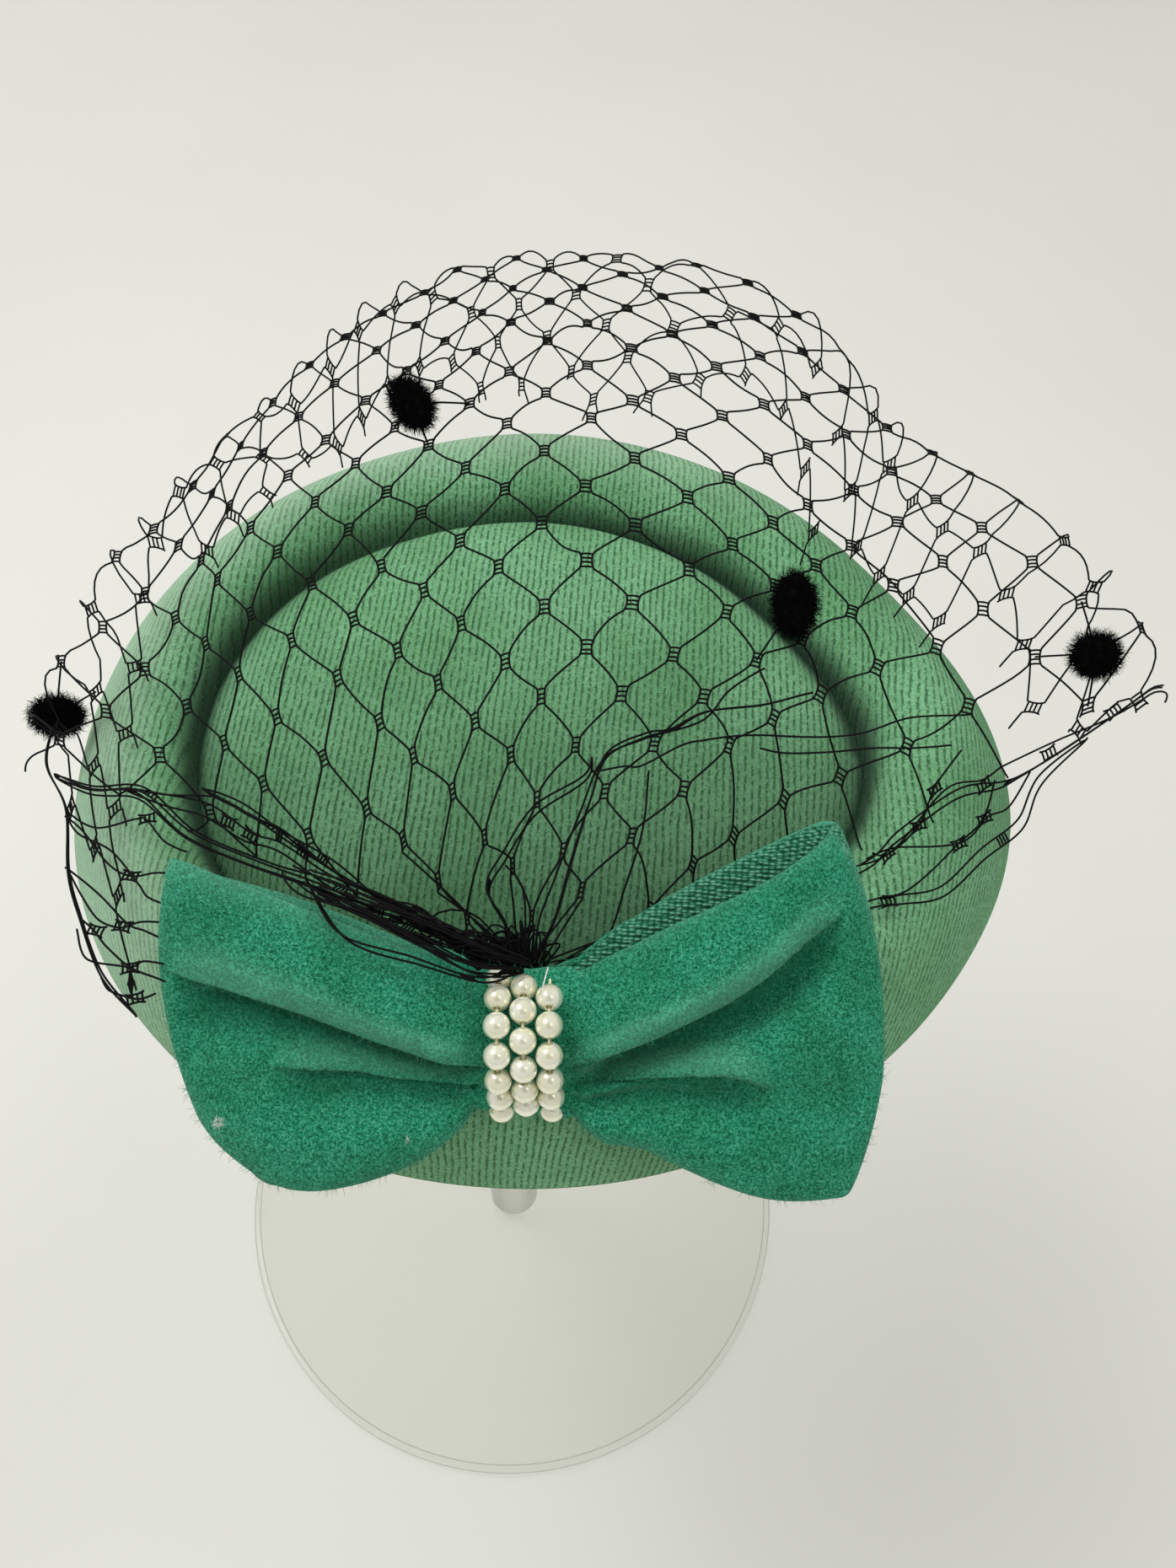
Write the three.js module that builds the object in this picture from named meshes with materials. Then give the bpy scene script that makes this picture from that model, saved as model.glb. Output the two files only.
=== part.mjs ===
// A felt fascinator hat with a bow, three strands of pearls and a net veil, held on a clear stand.
// Millimetres, +Z up. The origin is the bottom centre of the stand, and the bow faces -Y.
import * as THREE from "three";

// ---------- driving dimensions ----------
const gap = 0.3; // running clearance between neighbouring pieces
const hatCentre = new THREE.Vector3(6, 2, 275); // middle of the hat's lower edge
const feltWall = 2.5;
const bowWall = 2.2;

const stand = {
  baseRadius: 90,
  baseThickness: 4,
  postRadius: 8,
  plateRadius: 42,
  plateThickness: 4,
  plateTop: 288,
};

const colours = {
  hatFelt: { color: 0x6aa06f, roughness: 0.95, metalness: 0 },
  bowWool: { color: 0x2f8f6b, roughness: 0.95, metalness: 0 },
  pearl: { color: 0xefe9d2, roughness: 0.2, metalness: 0 },
  thread: { color: 0xe9e2c4, roughness: 0.8, metalness: 0 },
  net: { color: 0x101010, roughness: 0.7, metalness: 0 },
  chenille: { color: 0x0a0a0a, roughness: 1, metalness: 0 },
  acrylic: { color: 0xf2f4f2, roughness: 0.05, metalness: 0 },
  comb: { color: 0x151515, roughness: 0.4, metalness: 0 },
};

const assembly = new THREE.Group();
const hat = new THREE.Group();
hat.position.copy(hatCentre);
assembly.add(hat);

function addPiece(parent, name, geometry, finish) {
  const mesh = new THREE.Mesh(geometry, new THREE.MeshStandardMaterial(finish));
  mesh.name = name;
  parent.add(mesh);
  return mesh;
}

// ---------- small helpers ----------
// Rows of numbers under named columns, as one object for each row.
function table(columns, rows) {
  return rows.map((row) => Object.fromEntries(columns.map((column, i) => [column, row[i]])));
}

function cubic(a, b, c, d, t) {
  return b + 0.5 * t * (c - a + t * (2 * a - 5 * b + 4 * c - d + t * (3 * (b - c) + d - a)));
}

// Smooth value of one column of a table, at a place counted in rows.
function along(rows, column, place, closed) {
  const count = rows.length;
  const row = closed ? Math.floor(place) : Math.min(Math.floor(place), count - 2);
  const kept = (i) => (closed ? ((i % count) + count) % count : Math.min(Math.max(i, 0), count - 1));
  const pick = (i) => rows[kept(i)][column];
  return cubic(pick(row - 1), pick(row), pick(row + 1), pick(row + 2), place - row);
}

function geometryOf(points, triangles) {
  const geometry = new THREE.BufferGeometry();
  const places = points.flatMap((point) => point.toArray());
  geometry.setAttribute("position", new THREE.Float32BufferAttribute(places, 3));
  geometry.setIndex(triangles.flat());
  return geometry;
}

// ---------- stand: a clear disc, a rod and a round plate under the crown ----------
function disc(radius, bottom, top, sides) {
  const geometry = new THREE.CylinderGeometry(radius, radius, top - bottom, sides);
  geometry.rotateX(Math.PI / 2);
  geometry.translate(0, 0, (bottom + top) / 2);
  return geometry;
}

const { baseRadius, baseThickness, postRadius, plateRadius, plateTop } = stand;
const plateBottom = plateTop - stand.plateThickness;
addPiece(assembly, "stand_base", disc(baseRadius, 0, baseThickness, 56), colours.acrylic);
addPiece(assembly, "stand_post", disc(postRadius, baseThickness, plateBottom, 24), colours.acrylic);
addPiece(assembly, "stand_top_plate", disc(plateRadius, plateBottom, plateTop, 40), colours.acrylic);

// ---------- hat body: one pressed felt shell ----------
// Reach of the cut edge from the hat's middle, every 30 degrees from +X towards +Y.
const outline = table(["reach"], [
  [93.0], [83.6], [81.4], [81.4], [81.4], [84.8], [88.2], [90.3], [89.2], [87.0], [87.2], [89.8],
]);
// The outside from the crown's middle to the cut edge: share of the outline, height above the edge,
// and how far the row follows the crown, whose middle lies a little off the outline's middle.
const hatProfile = table(
  ["share", "lift", "drift"],
  [
    [0.2, 17.3, 1],
    [0.42, 16.6, 1],
    [0.56, 15.6, 1],
    [0.625, 14.4, 1],
    [0.662, 12.4, 1],
    [0.69, 11.4, 1],
    [0.716, 12.6, 0.9],
    [0.748, 16.4, 0.7],
    [0.79, 19.0, 0.5],
    [0.835, 19.5, 0.3],
    [0.885, 17.6, 0.15],
    [0.93, 13.4, 0],
    [0.967, 7.6, 0],
    [1, 0, 0],
  ],
);
const crownMiddle = { x: -2.5, y: -1, lift: 17.6 };
const hatSides = 48;

function outlineReach(angle) {
  return along(outline, "reach", (angle / (2 * Math.PI)) * outline.length, true);
}

function hatSection(angle) {
  const reach = outlineReach(angle);
  const outside = hatProfile.map((row) => ({ r: row.share * reach, z: row.lift, drift: row.drift }));
  const inside = outside.map((here, i) => {
    const before = outside[Math.max(i - 1, 0)];
    const after = outside[Math.min(i + 1, outside.length - 1)];
    const run = Math.hypot(after.r - before.r, after.z - before.z);
    const fall = i === outside.length - 1 ? 0 : (after.r - before.r) / run;
    const lean = i === outside.length - 1 ? 1 : (before.z - after.z) / run;
    return { r: here.r - feltWall * lean, z: here.z - feltWall * fall, drift: here.drift };
  });
  return outside.concat(inside.reverse());
}

function hatBody() {
  const points = [];
  const triangles = [];
  const rows = hatProfile.length * 2;
  for (let i = 0; i < hatSides; i++) {
    const angle = (2 * Math.PI * i) / hatSides;
    for (const { r, z, drift } of hatSection(angle)) {
      const x = r * Math.cos(angle) + crownMiddle.x * drift;
      const y = r * Math.sin(angle) + crownMiddle.y * drift;
      points.push(new THREE.Vector3(x, y, z));
    }
  }
  const { x, y, lift } = crownMiddle;
  const top = points.push(new THREE.Vector3(x, y, lift)) - 1;
  const under = points.push(new THREE.Vector3(x, y, lift - feltWall)) - 1;
  for (let i = 0; i < hatSides; i++) {
    const a = i * rows;
    const b = ((i + 1) % hatSides) * rows;
    triangles.push([top, a, b], [under, b + rows - 1, a + rows - 1]);
    for (let j = 0; j < rows - 1; j++) {
      triangles.push([a + j, a + j + 1, b + j], [b + j, a + j + 1, b + j + 1]);
    }
  }
  return geometryOf(points, triangles);
}
addPiece(hat, "hat_body", hatBody(), colours.hatFelt);

// ---------- bow: one closed band of wool felt, pinched into pleats at its knot ----------
// Bow axes: "across" is X, "height" runs up the bow and "depth" points out of its face.
const bowCentre = new THREE.Vector3(4.1, -71, 25.9);
const bowTilt = THREE.MathUtils.degToRad(55); // how far the face looks up
const bowUp = new THREE.Vector3(0, Math.sin(bowTilt), Math.cos(bowTilt));
const bowFace = new THREE.Vector3(0, -Math.cos(bowTilt), Math.sin(bowTilt));

function onBow(across, height, depth) {
  const spot = new THREE.Vector3(across, 0, 0).add(bowCentre);
  return spot.addScaledVector(bowUp, height).addScaledVector(bowFace, depth);
}

// Stations round the closed band, seen along its cut edges. acrossTop and acrossBottom are where its two
// edges are, swell pushes the middle outwards, crown sets the edges back from the middle, pleat is how deep
// the folds are, and the last four columns are the heights of the upper edge, both lips and the lower edge.
const bowStations = table(
  ["acrossTop", "acrossBottom", "swell", "depth", "crown", "pleat", "top", "lip1", "lip2", "bottom"],
  [
    [5, 7.2, 0, 4.6, 2.9, 0.15, 7.2, -0.8, -3.2, -5.7],
    [10, 10.5, 0, 5.0, 1, 0.7, 13.4, -1.6, -4.8, -9],
    [20, 21, 0, 5.6, 0.8, 1, 20.6, 5.6, -2.9, -14.6],
    [36, 39, 0, 5.4, 1.2, 0.6, 29.6, 17.2, -0.9, -20.4],
    [46, 53, 7, 0, 0, 0, 38.6, 27, 1, -19],
    [35, 38, 0, -4.8, 0, 0, 32.4, 17, -1, -18],
    [20, 20, 0, -3.6, 0, 0, 23.2, 6, -2.6, -12.6],
    [10, 10.5, 0, -2.9, 0, 0, 14.8, -1, -4, -8.4],
    [5, 7.2, 0, -2.8, 0, 0, 7.2, -0.8, -3.2, -5.7],
    [-7, -5, 0, -2.8, 0, 0, 6.2, -1.8, -4.2, -6.6],
    [-10.5, -9, 0, -2.9, 0, 0, 12, -1, -5.4, -12.6],
    [-20, -20, 0, -3.6, 0, 0, 16, 2, -6, -19.4],
    [-39, -36, 0, -4.8, 0, 0, 21.4, 6.4, -5.6, -23.6],
    [-58.5, -50, -4, 0, 0, 0, 25.2, 8, -4, -15.4],
    [-40, -38, 0, 5.4, 1.2, 0.6, 20.2, 6.4, -5.8, -26],
    [-20, -20, 0, 5.6, 0.8, 1, 14.4, 1.4, -6.5, -22],
    [-10.5, -9, 0, 5.0, 1, 0.7, 10.4, -2.6, -6.3, -14.2],
    [-7, -5, 0, 4.6, 2.9, 0.15, 6.2, -1.8, -4.2, -6.6],
  ],
);
// Lines along the band, from its upper edge to its lower one: the panel (0 upper edge to first lip, 1 to
// the second lip, 2 to the lower edge), the share of the panel, the rise of the pleat, and its tuck.
const bowLines = table(
  ["panel", "share", "rise", "tuck"],
  [
    [0, 0, -0.8, 0],
    [0, 0.35, 1.4, 0.2],
    [0, 0.72, 3.0, 0.6],
    [0, 1, 2.6, 1],
    [1, 0.16, -2.6, 1],
    [1, 0.58, 1.0, 1],
    [1, 1, 1.6, 1],
    [2, 0.12, -2.2, 1],
    [2, 0.42, 0.8, 0.5],
    [2, 0.72, 0.6, 0.2],
    [2, 1, -1.4, 0],
  ],
);
const panelEnds = ["top", "lip1", "lip2", "bottom"];
const bowStepsPerStation = 3;

function bowPoint(place, line) {
  const value = (column) => along(bowStations, column, place, true);
  const [upper, lower] = panelEnds.slice(line.panel, line.panel + 2);
  const height = THREE.MathUtils.lerp(value(upper), value(lower), line.share);
  const down = (value("top") - height) / (value("top") - value("bottom"));
  const belly = value("swell") * 4 * down * (1 - down);
  const across = THREE.MathUtils.lerp(value("acrossTop"), value("acrossBottom"), down) + belly;
  const setBack = value("crown") * (2 * down - 1) ** 2;
  return { across, height, depth: value("depth") - setBack + line.rise * value("pleat") };
}

function bow() {
  const outer = [];
  const inner = [];
  const steps = bowStations.length * bowStepsPerStation;
  const middleLine = { panel: 1, share: 0.5, rise: 0 };
  for (let i = 0; i < steps; i++) {
    const place = i / bowStepsPerStation;
    const before = bowPoint(place - 0.05, middleLine);
    const after = bowPoint(place + 0.05, middleLine);
    const run = Math.hypot(after.across - before.across, after.depth - before.depth);
    const inAcross = (bowWall * (after.depth - before.depth)) / run;
    const inDepth = (-bowWall * (after.across - before.across)) / run;
    const fold = Math.min(along(bowStations, "pleat", place, true), 1);
    for (const line of bowLines) {
      const p = bowPoint(place, line);
      const lift = Math.max(fold, 0) * line.tuck * bowWall * 0.75;
      outer.push(onBow(p.across, p.height, p.depth));
      inner.push(onBow(p.across + inAcross, p.height + lift, p.depth + inDepth));
    }
  }
  const lines = bowLines.length;
  const points = outer.concat(inner);
  const triangles = [];
  const quad = (a, b, c, d) => triangles.push([a, b, c], [a, c, d]);
  for (let i = 0; i < steps; i++) {
    const a = i * lines;
    const b = ((i + 1) % steps) * lines;
    const shift = outer.length;
    for (let j = 0; j < lines - 1; j++) {
      quad(a + j, a + j + 1, b + j + 1, b + j);
      quad(shift + a + j, shift + b + j, shift + b + j + 1, shift + a + j + 1);
    }
    quad(a, b, shift + b, shift + a);
    quad(b + lines - 1, a + lines - 1, shift + a + lines - 1, shift + b + lines - 1);
  }
  return geometryOf(points, triangles);
}
addPiece(hat, "bow", bow(), colours.bowWool);

// ---------- pearls: three strands of beads over the bow's knot, each on its own thread ----------
const pearl = { radius: 2.1, hole: 0.8, pitch: 4.5, sides: 8 };
const threadRadius = 0.28;
const knotTurn = THREE.MathUtils.degToRad(5.5); // the strands lean a little, as the whole bow does
const strandStart = { height: 10.8, depth: 2.6 }; // where the first pearl of the left strand sits
// How far each step of a strand leans from the bow's face, in degrees, from the top of the knot down.
const strandLeans = [60, 36, 3, -24, -44, -52];
// Strand, its place across the bow, how many pitches down its first pearl is, and its number of pearls.
const strands = [
  { name: "left", across: -3.6, first: 0, pearls: 7 },
  { name: "middle", across: 0.3, first: 0.5, pearls: 6 },
  { name: "right", across: 4.2, first: 1, pearls: 6 },
];

function strandCurve(across) {
  let { height, depth } = strandStart;
  const place = () => {
    const onKnot = new THREE.Vector2(across, height).rotateAround(new THREE.Vector2(), knotTurn);
    return onBow(onKnot.x, onKnot.y, depth);
  };
  const points = [place()];
  for (const lean of strandLeans) {
    height -= pearl.pitch * Math.cos(THREE.MathUtils.degToRad(lean));
    depth += pearl.pitch * Math.sin(THREE.MathUtils.degToRad(lean));
    points.push(place());
  }
  return new THREE.CatmullRomCurve3(points);
}

function pearlBead() {
  const start = Math.asin(pearl.hole / pearl.radius);
  const arcs = 5;
  const profile = [];
  for (let i = 0; i <= arcs; i++) {
    const angle = start + ((Math.PI - 2 * start) * i) / arcs;
    profile.push(new THREE.Vector2(pearl.radius * Math.sin(angle), -pearl.radius * Math.cos(angle)));
  }
  profile.push(profile[0].clone());
  return new THREE.LatheGeometry(profile, pearl.sides);
}

function addStrand({ name, across, first, pearls }) {
  const curve = strandCurve(across);
  const steps = strandLeans.length;
  const upright = new THREE.Vector3(0, 1, 0);
  for (let i = 0; i < pearls; i++) {
    const bead = addPiece(hat, `pearl_${name}_${i + 1}`, pearlBead(), colours.pearl);
    bead.position.copy(curve.getPoint((i + first) / steps));
    bead.quaternion.setFromUnitVectors(upright, curve.getTangent((i + first) / steps));
  }
  const section = new THREE.Shape().absarc(0, 0, threadRadius, 0, 2 * Math.PI);
  const thread = { extrudePath: curve, steps: 2 * steps, curveSegments: 3 };
  addPiece(hat, `pearl_thread_${name}`, new THREE.ExtrudeGeometry(section, thread), colours.thread);
}
strands.forEach(addStrand);

// ---------- veil: a stiff net fanned out from its gather over the crown, then folded back ----------
const veilGather = new THREE.Vector3(2.8, -62.4, 29.5); // under the top of the pearls
const veilThickness = 1;
const strutHalfWidth = 0.85;
const foldRadius = 5;
const gatherTip = 2; // where the bunched net ends, from the gather's middle
const crestShare = 0.55; // where a meridian is highest, as a share of its way to the fold
const netCells = { across: 12, along: 9, knotShare: 0.26, bunch: 0.055, growth: 1.15 };
// Meridians of the fan from left to right: bearing from +Y towards +X and distance of the fold, its height,
// the height over the crown, how far the bearing turns near the gather, and then the part folded back
// under: its length in plan, the sideways turn it takes, and the height of its cut edge.
const veilRows = table(
  ["bearing", "reach", "fold", "crest", "bend", "back", "turn", "edge"],
  [
    [-69, 96, 28, 32, 0, 57, -38, 19],
    [-58, 105, 31, 40, 0, 44, -30, 21],
    [-46, 114, 37, 48, 0, 30, -14, 24],
    [-30, 125, 44, 56, 0, 26, 0, 24],
    [-15, 150, 46, 59, 0, 26, 0, 25],
    [0, 159, 47, 60, 0, 24, 0, 26],
    [14, 155, 47, 59, 0, 20, 0, 27],
    [28, 131, 46, 56, 4, 24, 8, 26],
    [40, 129, 46, 53, 8, 28, 14, 26],
    [52, 127, 45, 40, 5, 28, 20, 27],
    [61, 121, 42, 21, 15, 26, 24, 28],
  ],
);

// One meridian from the gather over the crown, round the fold and back to the cut edge.
function meridian(across) {
  const value = (column) => along(veilRows, column, across * (veilRows.length - 1), false);
  const reach = value("reach");
  const spot = (distance, height) => {
    const share = distance / reach;
    const bearing = THREE.MathUtils.degToRad(value("bearing") + value("bend") * (1 - share) ** 1.5);
    const x = veilGather.x + Math.sin(bearing) * distance;
    const y = veilGather.y + Math.cos(bearing) * distance;
    return new THREE.Vector3(x, y, height);
  };
  const points = [];
  for (const share of [0, 0.1, 0.25, 0.4, 0.55, 0.7, 0.85]) {
    const climb = Math.sin(Math.min(share / crestShare, 1) * (Math.PI / 2)) ** 0.8;
    const sink = Math.max((share - crestShare) / (1 - crestShare), 0) ** 2;
    const overCrown = THREE.MathUtils.lerp(veilGather.z, value("crest"), climb);
    const height = overCrown - (value("crest") - value("fold")) * sink;
    points.push(spot(THREE.MathUtils.lerp(gatherTip, reach - foldRadius, share), height));
  }
  points.push(spot(reach - foldRadius, value("fold")));
  points.push(spot(reach, value("fold") - foldRadius));
  const under = spot(reach - foldRadius, value("fold") - 2 * foldRadius);
  points.push(under);
  const home = THREE.MathUtils.degToRad(value("bearing") + 180 - value("turn"));
  for (const share of [0.5, 1]) {
    const run = value("back") * share;
    const height = THREE.MathUtils.lerp(under.z, value("edge"), share);
    points.push(new THREE.Vector3(under.x + Math.sin(home) * run, under.y + Math.cos(home) * run, height));
  }
  return new THREE.CatmullRomCurve3(points, false, "centripetal");
}

const meridians = new Map();
function onVeil(across, share) {
  const key = across.toFixed(5);
  if (!meridians.has(key)) meridians.set(key, meridian(across));
  return meridians.get(key).getPointAt(Math.min(Math.max(share, 0), 1));
}

function veilNormal(across, share) {
  const step = 0.004;
  const sideways = onVeil(Math.min(across + step, 1), share).sub(onVeil(Math.max(across - step, 0), share));
  const onwards = onVeil(across, Math.min(share + step, 1)).sub(onVeil(across, Math.max(share - step, 0)));
  return sideways.cross(onwards).normalize();
}

// The net's lattice: rows of cells, every second one shifted by half a cell, with upright knots between.
const netColumns = netCells.across + 0.5;
const netLevels = netCells.along + 1 - netCells.knotShare;
const middleOfKnot = 1 - netCells.knotShare / 2;

function shareAt(level) {
  return netCells.bunch + (1 - netCells.bunch) * (level / netLevels) ** netCells.growth;
}

// A sheet of hexagonal cells, each a ring of flat struts round a gap, with a solid bunch at the gather.
function veil() {
  const points = [];
  const triangles = [];
  const corners = new Map();
  const edges = new Map();
  const slant = 1 - netCells.knotShare;
  const half = veilThickness / 2;

  const addBoth = (point, normal) => {
    points.push(point.clone().addScaledVector(normal, half), point.clone().addScaledVector(normal, -half));
    return points.length / 2 - 1;
  };
  const spot = (column, share) => {
    const key = `${Math.round(column * 2)} ${share.toFixed(5)}`;
    const across = column / netColumns;
    if (!corners.has(key)) corners.set(key, addBoth(onVeil(across, share), veilNormal(across, share)));
    return corners.get(key);
  };
  const corner = (column, level) => spot(column, shareAt(level));
  const middleOf = (index) => points[2 * index].clone().add(points[2 * index + 1]).multiplyScalar(0.5);
  const useEdge = (a, b) => {
    const back = `${b} ${a}`;
    if (edges.has(back)) edges.delete(back);
    else edges.set(`${a} ${b}`, [a, b]);
  };
  const plate = (a, b, c, d) => {
    triangles.push([2 * a, 2 * b, 2 * c], [2 * a, 2 * c, 2 * d]);
    triangles.push([2 * a + 1, 2 * c + 1, 2 * b + 1], [2 * a + 1, 2 * d + 1, 2 * c + 1]);
    [[a, b], [b, c], [c, d], [d, a]].forEach(([from, to]) => useEdge(from, to));
  };

  for (let row = 0; row < netCells.along; row++) {
    for (let cell = 0; cell < netCells.across; cell++) {
      const column = cell + 0.5 + (row % 2) * 0.5;
      const [left, right] = [column - 0.5, column + 0.5];
      const ring = [
        corner(column, row),
        corner(left, row + slant),
        corner(left, row + 1),
        corner(column, row + 1 + slant),
        corner(right, row + 1),
        corner(right, row + slant),
      ];
      const middle = new THREE.Vector3();
      ring.forEach((c) => middle.addScaledVector(middleOf(c), 1 / ring.length));
      const width = middleOf(ring[1]).distanceTo(middleOf(ring[5]));
      const inset = 1.15 * Math.min(strutHalfWidth, 0.2 * width);
      const normal = veilNormal(column / netColumns, shareAt(row + middleOfKnot));
      const hole = ring.map((c) => {
        const from = middleOf(c);
        return addBoth(from.lerp(middle, inset / from.distanceTo(middle)), normal);
      });
      ring.forEach((here, i) => {
        const next = (i + 1) % ring.length;
        plate(here, hole[i], hole[next], ring[next]);
      });
      if (row === 0) {
        plate(spot(column, 0), ring[0], ring[1], spot(left, 0));
        plate(spot(right, 0), ring[5], ring[0], spot(column, 0));
      }
    }
  }
  for (const [a, b] of edges.values()) {
    triangles.push([2 * a, 2 * a + 1, 2 * b + 1], [2 * a, 2 * b + 1, 2 * b]);
  }
  return geometryOf(points, triangles);
}
addPiece(hat, "veil", veil(), colours.net);

// ---------- chenille dots: furry tufts knotted onto the net ----------
// Where each is tied to the net, by column and row of its cells, its half length and half
// width, how many degrees its length turns off the net's own line, and its lift to clear the net.
const dots = [
  { column: 1, level: 6.87, long: 5.8, wide: 4.1, turn: 45, lift: 0 },
  { column: 4.85, level: 5.22, long: 6.6, wide: 3.7, turn: -14, lift: 0 },
  { column: 9.18, level: 4.23, long: 6.8, wide: 3.8, turn: -32, lift: 0 },
  { column: 11.6, level: 6.82, long: 4.8, wide: 4.4, turn: 40, lift: -2.1 },
];
const tuft = { thick: 4.2, root: 0.74, tip: 1.12 };

// An icosahedron whose corners and face middles stand out as 32 locks over a rounded head.
function tuftGeometry(long, wide) {
  const ball = new THREE.IcosahedronGeometry(1, 0).getAttribute("position");
  const points = [];
  const triangles = [];
  const seen = new Map();
  const place = (direction, reach) => {
    const key = direction.toArray().map((value) => value.toFixed(3)).join(" ");
    if (!seen.has(key)) seen.set(key, points.push(direction.clone().multiplyScalar(reach)) - 1);
    return seen.get(key);
  };
  for (let i = 0; i < ball.count; i += 3) {
    const face = [0, 1, 2].map((k) => new THREE.Vector3().fromBufferAttribute(ball, i + k).normalize());
    const lock = place(face[0].clone().add(face[1]).add(face[2]).normalize(), tuft.tip);
    const halfway = (corner, k) => corner.clone().add(face[(k + 1) % 3]).normalize();
    const mids = face.map((corner, k) => place(halfway(corner, k), tuft.root));
    const tips = face.map((corner) => place(corner, tuft.tip));
    for (let k = 0; k < 3; k++) {
      const before = mids[(k + 2) % 3];
      triangles.push([tips[k], mids[k], before], [before, mids[k], lock]);
    }
  }
  points.forEach((p) => p.set(p.x * wide, p.y * long, p.z * tuft.thick));
  return geometryOf(points, triangles);
}

dots.forEach(({ column, level, long, wide, turn, lift }, i) => {
  const across = column / netColumns;
  const share = shareAt(level);
  const normal = veilNormal(across, share);
  const onwards = onVeil(across, share + 0.01).sub(onVeil(across, share - 0.01)).normalize();
  const sideways = onwards.clone().cross(normal).normalize();
  sideways.applyAxisAngle(normal, THREE.MathUtils.degToRad(-turn));
  const geometry = tuftGeometry(long, wide);
  geometry.applyMatrix4(new THREE.Matrix4().makeBasis(sideways, normal.clone().cross(sideways), normal));
  const seat = veilThickness / 2 + gap + tuft.thick + lift;
  const spot = onVeil(across, share).addScaledVector(normal, seat);
  geometry.translate(spot.x, spot.y, spot.z);
  addPiece(hat, `chenille_dot_${i + 1}`, geometry, colours.chenille);
});

// ---------- hair comb: one plain piece sewn inside the far wall ----------
const comb = { teeth: 9, pitch: 5, tooth: 2, length: 20, bar: 5, thickness: 1.4, lift: 6 };
const combWallShare = 0.959; // the wall's reach at the comb's height, as a share of the cut edge's

function hairComb() {
  const wallReach = outlineReach(Math.PI / 2) * combWallShare - feltWall - gap;
  const halfWidth = (comb.pitch * (comb.teeth - 1) + comb.tooth) / 2;
  const shape = new THREE.Shape();
  const corner = Math.asin(halfWidth / wallReach);
  shape.absarc(0, 0, wallReach, Math.PI / 2 - corner, Math.PI / 2 + corner);
  const barFront = wallReach * Math.cos(corner) - comb.bar;
  for (let i = 0; i < comb.teeth; i++) {
    const left = -halfWidth + i * comb.pitch;
    shape.lineTo(left, barFront - comb.length);
    shape.lineTo(left + comb.tooth, barFront - comb.length);
    shape.lineTo(left + comb.tooth, barFront);
    if (i < comb.teeth - 1) shape.lineTo(left + comb.pitch, barFront);
  }
  shape.closePath();
  const flat = { depth: comb.thickness, bevelEnabled: false, curveSegments: 8 };
  const geometry = new THREE.ExtrudeGeometry(shape, flat);
  geometry.translate(0, 0, comb.lift);
  return geometry;
}
addPiece(hat, "hair_comb", hairComb(), colours.comb);

export default assembly;
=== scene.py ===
import math
import random

import bmesh
import bpy
import numpy as np
from mathutils import Matrix, Vector


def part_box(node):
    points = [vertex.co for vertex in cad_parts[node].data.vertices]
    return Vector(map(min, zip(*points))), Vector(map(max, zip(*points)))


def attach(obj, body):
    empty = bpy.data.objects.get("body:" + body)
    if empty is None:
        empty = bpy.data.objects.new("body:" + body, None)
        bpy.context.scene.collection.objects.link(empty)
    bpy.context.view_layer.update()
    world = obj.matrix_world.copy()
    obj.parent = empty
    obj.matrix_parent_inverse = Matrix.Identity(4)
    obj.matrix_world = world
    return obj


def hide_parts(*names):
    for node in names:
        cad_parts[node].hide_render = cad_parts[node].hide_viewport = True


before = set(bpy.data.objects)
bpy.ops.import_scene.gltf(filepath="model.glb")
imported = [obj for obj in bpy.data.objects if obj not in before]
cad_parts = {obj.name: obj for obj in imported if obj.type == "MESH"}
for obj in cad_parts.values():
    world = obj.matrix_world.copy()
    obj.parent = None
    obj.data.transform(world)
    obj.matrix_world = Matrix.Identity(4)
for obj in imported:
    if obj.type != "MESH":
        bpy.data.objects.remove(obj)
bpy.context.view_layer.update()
scene = bpy.context.scene
scene.view_settings.view_transform = "Standard"
mm = 0.001
hatCentre = Vector((6, 2, 275))  # middle of the hat's lower edge, mm


def srgb(code):
    parts = [int(code[i:i + 2], 16) / 255 for i in (0, 2, 4)]
    return [p / 12.92 if p <= 0.04045 else ((p + 0.055) / 1.055) ** 2.4 for p in parts] + [1.0]


def addNode(tree, kind, inputs=None, stops=None, **settings):
    node = tree.nodes.new(kind)
    for key, value in settings.items():
        setattr(node, key, value)
    for socket, value in (inputs or {}).items():
        target = node.inputs[socket]
        if isinstance(value, bpy.types.NodeSocket):
            tree.links.new(value, target)
        else:
            target.default_value = value
    if stops:  # places and colours of a colour ramp
        elements = node.color_ramp.elements
        while len(elements) < len(stops):
            elements.new(1)
        for element, (place, colour) in zip(elements, stops):
            element.position = place
            element.color = srgb(colour)
    return node


def newMaterial(name, values):
    material = bpy.data.materials.new(name)
    material.use_nodes = True
    tree = material.node_tree
    tree.nodes.clear()
    shader = addNode(tree, "ShaderNodeBsdfPrincipled", values)
    addNode(tree, "ShaderNodeOutputMaterial", {"Surface": shader.outputs[0]})
    return material, tree, shader


def mottledMaterial(name, values, pattern, stops):
    # a plain finish whose colour wanders between two tones; the pattern's scale is per metre
    material, tree, shader = newMaterial(name, values)
    spot = addNode(tree, "ShaderNodeTexCoord").outputs["Object"]
    cloud = addNode(tree, "ShaderNodeTexNoise", {"Vector": spot, **pattern}).outputs[0]
    tone = addNode(tree, "ShaderNodeValToRGB", {"Fac": cloud}, stops=stops)
    tree.links.new(tone.outputs[0], shader.inputs["Base Color"])
    return material


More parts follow.
